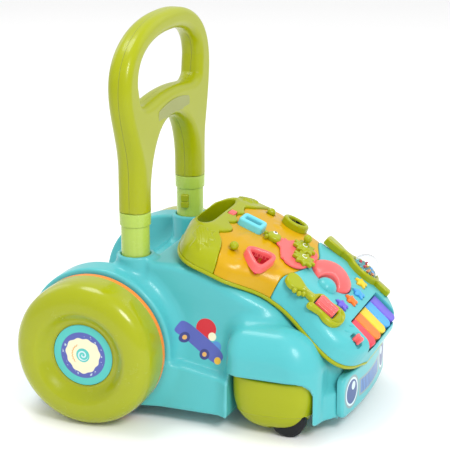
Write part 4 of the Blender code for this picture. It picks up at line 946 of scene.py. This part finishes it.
def make_panel(step):
    rim = panel_chart(rim_outline())
    lower_rim = panel_chart(rim_outline(0.0012), holes=[carry_hole(0.0004)])
    grip_edge, console_edge = along(GRIP_EDGE), along(CONSOLE_EDGE)
    start, end = [(0.130, 0.080), (-0.130, 0.080)], [(0.130, 0.400), (-0.130, 0.400)]
    grip_area = panel_chart(np.concatenate([grip_edge, start]))
    console_area = panel_chart(np.concatenate([console_edge, end]))
    leaves = panel_chart(*[smooth_loop(p) for p in LEAVES.values()])
    hole = panel_chart(carry_hole())
    spots = [uphill(sorter_hole(k, 0.0008), s) for k, s in SORTERS.items()]
    sorter_holes = panel_chart(*spots)
    hook = panel_chart(uphill(rounded_rectangle(HOOK_SIZE[0] + 0.0006, HOOK_SIZE[1] + 0.0006, 0.0025), HOOK))
    dots = panel_chart(*[ring_points(0.0060, 32, (x, run)) for _, x, run in DOTS])
    stars = panel_chart(*[uphill(star(0.0008), (x, run)) for _, x, run in STARS])
    middle_key = (KEY_START + KEY_END) / 2
    window = panel_chart(uphill(rounded_rectangle(2.5 * KEY_PITCH + 0.0010,
                                                  (KEY_END - KEY_START) / 2 + 0.0014,
                                                  0.0020), (0.0, middle_key)))
    drum = panel_chart(ring_points(0.0273, 90, DRUM))
    roller = panel_chart(uphill(rounded_rectangle(0.0092, 0.0140, 0.0012), ROLLER))
    switch = panel_chart(uphill(rounded_rectangle(0.0052, 0.0082, 0.0030), SWITCH))

    def shell(x, run, h, top, edge):
        fall = side_fall(x)
        side = (rim(x, run) + 0.0085 * (h + PANEL_DEPTH) / PANEL_DEPTH) * 0.96
        return np.maximum(both(side, (h - top + fall) * 0.97, edge), -PANEL_DEPTH - h)

    def grip(x, run, h):
        leaf = leaves(x, run)
        veins = 0.00035 * np.cos(TAU * (x + 1.7 * run) / 0.0052) * smooth_step(-leaf, 0.0008, 0.0022)
        brow = smooth_step(-hole(x, run), -0.0045, -0.0005)
        top = 0.0018 + 0.0022 * smooth_step(-leaf, -0.0006, 0.0012) + veins - 0.0010 * brow
        body = both(shell(x, run, h, top, 0.0150), grip_area(x, run) + 0.00015, 0.0014)
        body = without(body, hole(x, run), 0.0018)
        return without(body, np.maximum(hook(x, run), -0.012 - h), 0.0004)

    def middle(x, run, h):
        top = -0.0008 + sum(bump_at(x, run, *row) for row in SWELLS)
        body = shell(x, run, h, top, 0.0100)
        for area in (grip_area, console_area):
            body = both(body, 0.00015 - area(x, run), 0.0012)
        body = without(body, np.maximum(sorter_holes(x, run), -0.024 - h), 0.0006)
        return without(body, np.maximum(dots(x, run), -0.006 - h), 0.0005)

    def console(x, run, h):
        slots = sum(bump_at(x, run, spot, (0.0034, 0.0009), 0.0012, 0.9)
                    for spot in ((-0.058, 0.3330), (-0.070, 0.3330), (-0.058, 0.3445)))
        away = np.abs(run - 0.3370) - 0.0045 - 0.0016 * np.cos(TAU * x / 0.010)
        wave = 0.0010 * np.exp(-(away / 0.0009) ** 2)
        wave = wave * smooth_step(x, 0.0610, 0.0630) * smooth_step(x, 0.0790, 0.0770)
        body = shell(x, run, h, 0.0004 - slots - wave, 0.0100)
        body = both(body, console_area(x, run) + 0.00015, 0.0022)
        for well, floor, edge in ((stars, -0.010, 0.0005), (window, -0.0155, 0.0008), (drum, -0.0075, 0.0010),
                                  (roller, -0.0125, 0.0006), (switch, -0.009, 0.0006)):
            body = without(body, np.maximum(well(x, run), floor - h), edge)
        return body

    def tray(x, run, h):
        return both(lower_rim(x, run), np.abs(h + 0.0325) - 0.00235, 0.0016)

    low, high = -PANEL_DEPTH, 0.006
    limit = 0.106
    for name, field, start, end, floor, top, finish, node in (
            ("grip_shell", grip, 0.096, 0.174, low, high, "lime", "panel_grip"),
            ("middle_shell", middle, 0.142, 0.260, low, high, "yellow", "panel_middle"),
            ("console_shell", console, 0.235, 0.381, low, high, "turquoise", "panel_console"),
            ("tray_rim", tray, 0.094, 0.383, -0.0355, -0.0295, "lime", "panel_tray")):
        moulding(name, field, (-limit, start, floor), (limit, end, top), step, finish, "panel", [node], bent,
                 50)


def relief(name, spot, outline, low, high, radius, finish, body, replaces=(), holes=(), step=0.0006,
           dish=None,
           falls=False):
    """A flat outline drawn right and uphill of a spot, given thickness, rounded edges and a shaped top."""
    chart = chart_of(outline, holes=holes)
    points = np.asarray(outline)

    def solid(u, v, h):
        if falls:
            h = h + side_fall(u + spot[0])
        top = h - high if dish is None else h - high - dish(u, v)
        return np.maximum(both(chart(u, v), top, radius), low - h)

    a, b = points.min(0), points.max(0)
    base = low - 0.009 if falls else low
    return moulding(name, solid, (a[0], a[1], base), (b[0], b[1], high + 0.004), step, finish, body, replaces,
                    tilted(*spot), 55)


def make_sorters(step):
    for kind, spot in SORTERS.items():
        colour = {"square": "sky", "triangle": "coral", "round": "lime"}[kind]
        chart = chart_of(sorter_hole(kind, 0.0062), holes=[sorter_hole(kind, 0.0001)])

        def solid(u, v, h, chart=chart, spot=spot):
            h = h + side_fall(u + spot[0])
            return np.maximum(both(chart(u, v) + 0.06 * (h - 0.001), h - 0.0086, 0.0028), -0.0010 - h)

        reach = 0.0310
        moulding("sorter_ring_" + kind, solid, (-reach, -reach, -0.0102), (reach, reach, 0.0092), step,
                 colour, "panel",
                 ["sorter_frame_" + kind], tilted(*spot), 60)
        # The wells take darker copies of their frames' colours: painted shade for the deep holes, not the
        # plastic's own colour.
        inner = {"square": "navy", "triangle": "deep_red", "round": "black"}[kind]
        lining = chart_of(sorter_hole(kind, 0.0006), holes=[sorter_hole(kind, 0.00005)])

        def well(u, v, h, lining=lining, kind=kind):
            floor = np.maximum(outline_distance(u, v, sorter_hole(kind, 0.0005)), np.abs(h + 0.0225) - 0.0008)
            return np.minimum(np.maximum(lining(u, v), np.abs(h + 0.0110) - 0.0120), floor)

        moulding("sorter_well_" + kind, well, (-0.022, -0.022, -0.0235), (0.022, 0.022, 0.0012), step, inner,
                 "panel",
                 (), tilted(*spot), 40, rounds=2)


def make_snail(step):
    spot = (0.0, 0.2210)
    body = [(-0.0130, 0.0170), (-0.0190, 0.0100), (-0.0300, 0.0050), (-0.0360, 0.0020), (-0.0400, 0.0000),
            (-0.0410, -0.0040), (-0.0450, -0.0090), (-0.0440, -0.0190), (-0.0350, -0.0270),
            (-0.0180, -0.0310),
            (0.0000, -0.0320), (0.0150, -0.0300), (0.0225, -0.0230), (0.0245, -0.0120), (0.0215, -0.0010),
            (0.0130, 0.0060), (0.0070, 0.0090), (0.0090, 0.0140), (0.0040, 0.0130), (0.0020, 0.0180)]
    relief("snail_shape", spot, smooth_loop(body), 0.0, 0.0028, 0.0018, "coral", "panel", ["snail_body"],
           step=step)
    head = [(-0.0120, 0.0150), (-0.0160, 0.0210), (-0.0150, 0.0285), (-0.0080, 0.0315), (0.0000, 0.0290),
            (0.0025, 0.0220), (-0.0020, 0.0155)]
    relief("snail_face", spot, smooth_loop(head), 0.0, 0.0062, 0.0035, "lime", "panel", ["snail_head"],
           step=step)
    for k, (u, v) in enumerate(((-0.0165, 0.0300), (-0.0090, 0.0335))):
        relief("snail_feeler_%d" % k, spot, ring_points(0.0022, 24, (u, v)), 0.0, 0.0052, 0.0020, "lime",
               "panel",
               step=step)
    relief("snail_eye", spot, ring_points(0.0030, 30, (-0.0035, 0.0245)), 0.0040, 0.0072, 0.0014, "white",
           "panel",
           step=step * 0.7)
    relief("snail_pupil", spot, ring_points(0.0015, 24, (-0.0040, 0.0245)), 0.0060, 0.0078, 0.0007, "black",
           "panel",
           step=step * 0.5)


def make_gears(step):
    (_, ax, arun), (_, bx, brun) = GEARS
    bearing = math.atan2(arun - brun, bx - ax)
    for (tag, x, run), turn in zip(GEARS, (bearing, bearing + math.pi + math.pi / GEAR_TEETH)):
        outline = ring_points(0.0125, 18 * GEAR_TEETH, wave=0.0022, lobes=GEAR_TEETH, turn=turn)

        def dish(u, v):
            reach = np.hypot(u, v)
            spiral = 0.0005 * np.cos(TAU * reach / 0.0042 + np.arctan2(v, u)) * smooth_step(reach, 0.0075,
                                                                                            0.0065)
            return spiral + 0.0010 * smooth_step(reach, 0.0082, 0.0070)

        relief("gear_wheel_" + tag, (x, run), outline, 0.0036, 0.0078, 0.0013, "lime", "gear_" + tag,
               ["gear_" + tag],
               step=step, dish=dish)
        relief("gear_swirl_" + tag, (x, run), smooth_loop(swirl()), 0.0070, 0.0094, 0.0003, "white",
               "gear_" + tag,
               step=step * 0.7)
    cos, sin = 0.0065 * math.cos(0.4), 0.0065 * math.sin(0.4)

    def peg(u, v, h):
        ball = np.sqrt((u - cos) ** 2 + (v - sin) ** 2 + (h - 0.0150) ** 2) - 0.0050
        stem = np.maximum(np.hypot(u - cos, v - sin) - 0.0027, np.abs(h - 0.0105) - 0.0035)
        return either(ball, stem, 0.0015)

    moulding("gear_peg", peg, (-0.002, -0.008, 0.006), (0.014, 0.012, 0.021), step, "lime", "gear_upper", (),
             tilted(GEARS[0][1], GEARS[0][2]))


def swirl():
    """A thin crescent band that winds once: out along one radius, back along a smaller one."""
    a = np.linspace(0.3, 5.2, 14)
    outer = 0.0046 - 0.00045 * a
    points = np.stack([outer * np.cos(a), outer * np.sin(a)], -1)
    inner = outer[::-1] - 0.0009
    return np.concatenate([points, np.stack([inner * np.cos(a[::-1]), inner * np.sin(a[::-1])], -1)])


def make_guitar(step):
    u0, v0 = ROLLER
    body = [(0.0034, 0.0290), (0.0038, 0.0225), (0.0060, 0.0190), (0.0100, 0.0165), (0.0135, 0.0120),
            (0.0140, 0.0050), (0.0125, -0.0010), (0.0150, -0.0080), (0.0155, -0.0160), (0.0110, -0.0225),
            (0.0010, -0.0255), (-0.0095, -0.0235), (-0.0155, -0.0170), (-0.0165, -0.0080), (-0.0135, 0.0000),
            (-0.0150, 0.0080), (-0.0170, 0.0150), (-0.0125, 0.0185), (-0.0080, 0.0155), (-0.0050, 0.0190),
            (-0.0034, 0.0290)]
    head = [(-0.0034, 0.0290), (-0.0065, 0.0340), (-0.0105, 0.0400), (-0.0110, 0.0480), (-0.0060, 0.0545),
            (0.0040, 0.0560), (0.0095, 0.0515), (0.0100, 0.0440), (0.0065, 0.0350), (0.0034, 0.0290)]
    outline = np.concatenate([along(body, 5), along(head, 5)[1:-1]])
    slot = rounded_rectangle(0.0088, 0.0137, 0.0015)

    def dish(u, v):
        below = smooth_step(v, 0.020, 0.010)
        rimmed = np.abs(np.hypot(u / 0.0120, (v + 0.007) / 0.0160) - 1)
        strings = 0.0005 * np.cos(TAU * u / 0.0024) * smooth_step(np.abs(u), 0.0038, 0.0030)
        strings = strings * smooth_step(v, 0.016, 0.019) * smooth_step(v, 0.036, 0.033)
        return 0.0008 * below - 0.0022 * np.exp(-(rimmed / 0.10) ** 2) * smooth_step(v, -0.010,
                                                                                     -0.016) + strings

    relief("guitar_shape", ROLLER, outline, -0.001, 0.0046, 0.0024, "lime", "panel", ["guitar_body"], [slot],
           step,
           dish, falls=True)
    for k, (u, v) in enumerate(((-0.0125, 0.0385), (-0.0115, 0.0325), (-0.0070, 0.0285))):
        def ball(a, b, h, u=u, v=v):
            drop = side_fall(u + ROLLER[0])
            return np.sqrt((a - u) ** 2 + (b - v) ** 2 + ((h + drop - 0.0025) * 0.9) ** 2) - 0.0030

        moulding("guitar_peg_%d" % k, ball, (u - 0.004, v - 0.004, -0.008), (u + 0.004, v + 0.004, 0.007),
                 step, "lime",
                 "panel", (), tilted(*ROLLER))

    def drum(u, v, h):
        grooves = 0.00035 * np.cos(24 * np.arctan2(h, u))
        return both(np.hypot(u, h) - 0.0078 - grooves * smooth_step(np.abs(v), 0.0115, 0.0100),
                    np.abs(v) - 0.0124,
                    0.0012)

    moulding("roller_drum", drum, (-0.009, -0.013, -0.009), (0.009, 0.013, 0.009), step, "coral",
             "guitar_roller",
             ["guitar_roller"], tilted(*ROLLER), 50)


def make_shaker(step):
    """A banjo: round rim, short neck with a square head uphill, a tab downhill and a clear dome of beads."""
    a = np.radians(np.linspace(112, 428, 40))
    outline = np.stack([0.0228 * np.cos(a), 0.0228 * np.sin(a)], -1)
    neck = [(0.0050, 0.0260), (0.0045, 0.0330), (0.0075, 0.0360), (0.0085, 0.0520), (0.0060, 0.0570),
            (-0.0120, 0.0570), (-0.0150, 0.0530), (-0.0125, 0.0350), (-0.0085, 0.0300)]
    shape = smooth_loop(np.concatenate([outline[::3], neck]), 5)
    inner = ring_points(0.0168, 60)
    relief("banjo_rim", SHAKER, shape, -0.001, 0.0088, 0.0032, "lime", "panel", ["shaker_ring"], [inner],
           step,
           falls=True)
    tab = [(-0.0060, -0.0200), (0.0060, -0.0200), (0.0070, -0.0360), (0.0050, -0.0415), (-0.0050, -0.0415),
           (-0.0070, -0.0360)]
    relief("banjo_tab", SHAKER, smooth_loop(tab), -0.001, 0.0070, 0.0030, "lime", "panel", step=step,
           falls=True)
    outer = SHAKER_DOME
    t = np.linspace(0, math.pi / 2 - 0.01, 28)
    out = np.stack([outer * np.cos(t), 0.0030 + outer * 1.04 * np.sin(t)], -1)
    inside = np.stack([(outer - 0.0012) * np.cos(t), 0.0030 + (outer - 0.0012) * 1.04 * np.sin(t)], -1)[::-1]
    grid = spun(np.concatenate([out, inside]), 80)
    points = np.stack([grid[..., 1], grid[..., 2], grid[..., 0]], -1).reshape(-1, 3)
    faces = outward(points, loop_faces(80, 56))
    piece("dome_window", tilted(*SHAKER)(points), faces, "clear", "panel", ["shaker_dome"], 60)
    beads = np.random.default_rng(7)
    spots = []
    for k in range(60):
        spot = beads.uniform(-0.0115, 0.0115, 2)
        if np.hypot(*spot) < 0.0120 and all(np.hypot(*(spot - s)) > 0.0045 for s in spots):
            spots.append(spot)
    colours = ("red", "blue", "sky", "key_yellow", "orange")
    for k, (u, v) in enumerate(spots):
        def ball(a, b, h, u=u, v=v):
            return np.sqrt((a - u) ** 2 + (b - v) ** 2 + (h - 0.0036) ** 2) - 0.0021

        moulding("bead_%02d" % k, ball, (u - 0.003, v - 0.003, 0.001), (u + 0.003, v + 0.003, 0.0065), 0.0006,
                 colours[k % 5], "panel", (), tilted(*SHAKER))
    relief("dome_floor", SHAKER, ring_points(0.0170, 50), -0.001, 0.0012, 0.0004, "turquoise", "panel",
           step=step)


def make_keys(step):
    length = KEY_END - KEY_START
    for index, tag in enumerate(KEYS):
        middle = (index - 2) * KEY_PITCH
        half = KEY_PITCH / 2 - 0.0004
        tip = half * 0.98
        a = np.linspace(math.pi, TAU, 17)
        arc = np.stack([middle + tip * np.cos(a), -length + tip * 0.62 + tip * 0.62 * np.sin(a)], -1)
        outline = np.concatenate([arc, [(middle + half, 0.0), (middle - half, 0.0)]])
        finish = {"red": "red", "orange": "key_orange", "yellow": "key_yellow"}.get(tag, tag)

        def dish(u, v, middle=middle):
            return 0.0004 - 6.0 * (u - middle) ** 2

        relief("key_bar_" + tag, (0.0, KEY_START), outline, -0.0120, -0.0040, 0.0016, finish, "key_" + tag,
               ["key_" + tag], step=step, dish=dish)


def make_buttons(step):
    finishes = {"orange": "key_orange", "yellow": "key_yellow"}
    for tag, x, run in STARS:
        def dish(u, v):
            return 0.0018 * np.exp(-(np.hypot(u, v) / 0.0038) ** 2)

        relief("star_" + tag, (x, run), star(), -0.0060, 0.0028, 0.0014, finishes.get(tag, tag),
               "button_" + tag,
               ["button_" + tag], step=step * 0.8, dish=dish)
    for tag, x, run in DOTS:
        def ball(u, v, h):
            return np.maximum(np.sqrt(u * u + v * v + (h + 0.0008) ** 2) - 0.0052, -0.0045 - h)

        moulding("dot_" + tag, ball, (-0.006, -0.006, -0.005), (0.006, 0.006, 0.005), step * 0.8, "lime",
                 "dome_button_" + tag, ["dome_button_" + tag], tilted(x, run), 50)
    a = np.linspace(0, TAU, 240, endpoint=False)
    circle = np.stack([0.0265 * np.cos(a), 0.0265 * np.sin(a)], -1)
    chart = chart_of(circle, holes=[ring_points(BITE_RADIUS, 90, BITE)])

    def pad(u, v, h):
        crown = 0.0125 * (1 - (u * u + v * v) / 0.0265 ** 2)
        return np.maximum(both(chart(u, v), (h - 0.0020 - crown) * 0.92, 0.0030), -0.0055 - h)

    moulding("drum_skin", pad, (-0.027, -0.027, -0.0057), (0.027, 0.027, 0.0160), step, "coral", "drum_pad",
             ["drum_pad"], tilted(*DRUM), 50)

    def knob(u, v, h):
        near = np.hypot(u - BITE[0], v - BITE[1])
        ball = np.sqrt((near / 0.0130) ** 2 + ((h + 0.0030) / 0.0120) ** 2)
        return np.maximum((ball - 1) * 0.0090, -0.0074 - h)

    moulding("drum_knob", knob, (-0.043, -0.019, -0.0076), (-0.013, 0.012, 0.0115), step, "turquoise",
             "panel", (),
             tilted(*DRUM), 50)
    relief("drum_shadow_ring", DRUM, ring_points(0.0268, 90), -0.0090, -0.0072, 0.0004, "purple", "panel",
           step=step)
    outline = smooth_loop([(-0.0042, 0.0050), (-0.0022, 0.0000), (-0.0042, -0.0050), (0.0, -0.0072),
                           (0.0042, -0.0050),
                           (0.0022, 0.0000), (0.0042, 0.0050), (0.0, 0.0072)], 5)
    relief("switch_slider", SWITCH, outline * (1.0, 0.70), -0.0060, 0.0030, 0.0016, "coral", "power_switch",
           ["power_switch"], step=step * 0.7)
    relief("hook_tongue", HOOK, rounded_rectangle(0.0065, 0.0040, 0.0020), -0.0060, 0.0028, 0.0016, "coral",
           "panel_hook", ["panel_hook"], step=step * 0.8)


# ------------------------------------------------------------------ stage

LIGHTS = (("key_light", (-1.3, -1.5, 1.9), 0.9, 34), ("fill_light", (1.8, -1.4, 1.5), 1.8, 5),
          ("top_light", (0.1, 0.5, 2.4), 1.1, 21), ("back_light", (0.8, 2.0, 1.3), 1.4, 5))
FLOOR_HALF, LAMP_TARGET, ROOM_LIGHT = 6.0, (0, 0, 0.18), 0.82
CAMERA_PLACE, CAMERA_AIM, CAMERA_LENS = (-1.72949, -0.65380, 0.79359), (0.89004, 0.33963, -0.30409), 132.4


def make_stage():
    corners = [(x * FLOOR_HALF, y * FLOOR_HALF, 0) for x, y in ((-1, -1), (1, -1), (1, 1), (-1, 1))]
    mesh = bpy.data.meshes.new("studio_floor")
    mesh.from_pydata(corners, [], [(0, 1, 2, 3)])
    mesh.materials.append(FINISHES["floor"])
    floor = bpy.data.objects.new("studio_floor", mesh)
    bpy.context.scene.collection.objects.link(floor)
    for name, place, size, power in LIGHTS:
        lamp = bpy.data.lights.new(name, "AREA")
        lamp.shape, lamp.size, lamp.energy = "DISK", size, power
        obj = bpy.data.objects.new(name, lamp)
        obj.location = place
        obj.rotation_euler = (Vector(LAMP_TARGET) - Vector(place)).to_track_quat("-Z", "Y").to_euler()
        bpy.context.scene.collection.objects.link(obj)
    world = bpy.data.worlds.new("soft_room")
    world.use_nodes = True
    background = world.node_tree.nodes["Background"]
    background.inputs["Color"].default_value = (1.0, 1.0, 1.0, 1.0)
    background.inputs["Strength"].default_value = ROOM_LIGHT
    bpy.context.scene.world = world
    bpy.context.scene.view_settings.view_transform = "Standard"
    camera = bpy.data.objects.new("camera", bpy.data.cameras.new("camera"))
    camera.data.lens, camera.data.sensor_width = CAMERA_LENS, 36.0
    camera.location = CAMERA_PLACE
    camera.rotation_euler = Vector(CAMERA_AIM).to_track_quat("-Z", "Y").to_euler()
    bpy.context.scene.collection.objects.link(camera)
    bpy.context.scene.camera = camera


CARRIED = {"base_floor": "turquoise", "rear_axle": "steel",
           "handle_rod_left": "steel", "handle_rod_right": "steel", "battery_door": "lime",
           "circuit_board": "board_green", "speaker": "black"}


def finish_frame():
    """Gives each node that is still shown as built its own finish."""
    for name, finish in CARRIED.items():
        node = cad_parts[name]
        for slot in node.material_slots:
            slot.material = FINISHES[finish]
        if not node.material_slots:
            raise RuntimeError("no material slot on " + name)


# ------------------------------------------------------------------ settings, operators and panel

def colour_setting(key, label, words):
    return FloatVectorProperty(name=label, description=words, subtype="COLOR", size=3, min=0, max=1,
                               default=colour_of(*PALETTE[key]))


def spacing(label, words, least, most, default):
    return FloatProperty(name=label, description="Mesh spacing of " + words, unit="LENGTH", min=least,
                         max=most, default=default)


class WalkerColours(bpy.types.PropertyGroup):
    """The main plastics' colours, in linear light."""

    turquoise: colour_setting("turquoise", "Body", "Base, console and front plate")
    lime: colour_setting("lime", "Handle and wheels", "Handle, wheel discs and trim")
    yellow: colour_setting("yellow", "Middle shell", "The panel's middle shell")
    coral: colour_setting("coral", "Drum and frames", "Drum pad, triangle frame and snail")
    orange: colour_setting("orange", "Wheel rims", "Rings round the rear wheels")


class WalkerSizes(bpy.types.PropertyGroup):
    """Mesh fineness of the large shells and the small pieces."""

    body_step: spacing("Base step", "the base", 0.001, 0.006, 0.0021)
    panel_step: spacing("Panel step", "the panel's shells", 0.0007, 0.004, 0.0011)
    detail_step: spacing("Detail step", "small pieces", 0.0003, 0.002, 0.0007)
    handle_step: spacing("Handle step", "the handle", 0.0007, 0.004, 0.0013)


def operator(name, label, words, work):
    """An operator class that builds like pieces with the scene's settings."""
    def execute(self, context):
        work(context.scene.walker_sizes)
        return {"FINISHED"}

    fields = {"bl_idname": "walker." + name, "bl_label": label, "bl_options": {"REGISTER", "UNDO"},
              "__doc__": words,
              "execute": execute}
    return type("WALKER_OT_" + name, (bpy.types.Operator,), fields)


def plastics(sizes):
    colours = bpy.context.scene.walker_colours
    names = ("turquoise", "lime", "yellow", "coral", "orange")
    make_finishes({name: tuple(getattr(colours, name)) for name in names})


def at(make, group, factor=1.0):
    """Calls a maker with one of the mesh spacings, times a factor."""
    return lambda sizes: make(getattr(sizes, group) * factor)


def without_size(make):
    return lambda sizes: make()


OPERATORS = [operator(*row) for row in (
    ("finishes", "Plastics", "Makes the materials", plastics),
    ("base", "Base", "Models the base shell", at(make_base, "body_step")),
    ("nose", "Nose plate", "Models the plate on the base's nose", at(make_front_plate, "detail_step", 1.4)),
    ("rear_wheels", "Rear wheels", "Turns the rear wheels, rims and hub discs",
     without_size(make_rear_wheels)),
    ("front_wheels", "Front wheels", "Models the small wheels and cowls",
     at(make_front_wheels, "detail_step", 1.6)),
    ("handle", "Handle", "Models the handle's two shells and its inlay", at(make_handle, "handle_step")),
    ("tubes", "Tubes", "Models the tubes, collars and latch buttons", without_size(make_tubes)),
    ("panel", "Panel shells", "Models the activity panel's shells", at(make_panel, "panel_step")),
    ("sorters", "Shape holes", "Models the three shape-sorter frames", at(make_sorters, "detail_step")),
    ("snail", "Snail", "Models the snail and its face", at(make_snail, "detail_step")),
    ("gears", "Gears", "Models the two gears and the crank peg", at(make_gears, "detail_step")),
    ("guitar", "Guitar", "Models the guitar and its roller", at(make_guitar, "detail_step")),
    ("shaker", "Banjo", "Models the banjo and its dome of beads", at(make_shaker, "detail_step")),
    ("keys", "Keys", "Models the five piano keys", at(make_keys, "detail_step")),
    ("buttons", "Buttons", "Models the stars, drum, dots, switch and hook", at(make_buttons, "detail_step")),
    ("frame_finish", "Frame finishes", "Gives the nodes kept from the frame their finishes",
     without_size(finish_frame)),
    ("stage", "Stage", "Sets up the floor, lights and camera", without_size(make_stage)),
)]


class WALKER_PT_main(bpy.types.Panel):
    """Settings and steps of the baby walker"""

    bl_label = "Baby walker"
    bl_idname = "WALKER_PT_main"
    bl_space_type = "VIEW_3D"
    bl_region_type = "UI"
    bl_category = "Walker"

    def draw(self, context):
        for group in (context.scene.walker_sizes, context.scene.walker_colours):
            for key in group.bl_rna.properties.keys():
                if key not in ("rna_type", "name"):
                    self.layout.prop(group, key)
        for one in OPERATORS:
            self.layout.operator(one.bl_idname)


CLASSES = [WalkerColours, WalkerSizes, *OPERATORS, WALKER_PT_main]


def register():
    for one in CLASSES:
        bpy.utils.register_class(one)
    bpy.types.Scene.walker_colours = PointerProperty(type=WalkerColours)
    bpy.types.Scene.walker_sizes = PointerProperty(type=WalkerSizes)


def unregister():
    del bpy.types.Scene.walker_sizes
    del bpy.types.Scene.walker_colours
    for one in reversed(CLASSES):
        bpy.utils.unregister_class(one)


def main():
    register()
    for one in OPERATORS:
        getattr(bpy.ops.walker, one.bl_idname.split(".")[1])()


if __name__ == "__main__":
    main()
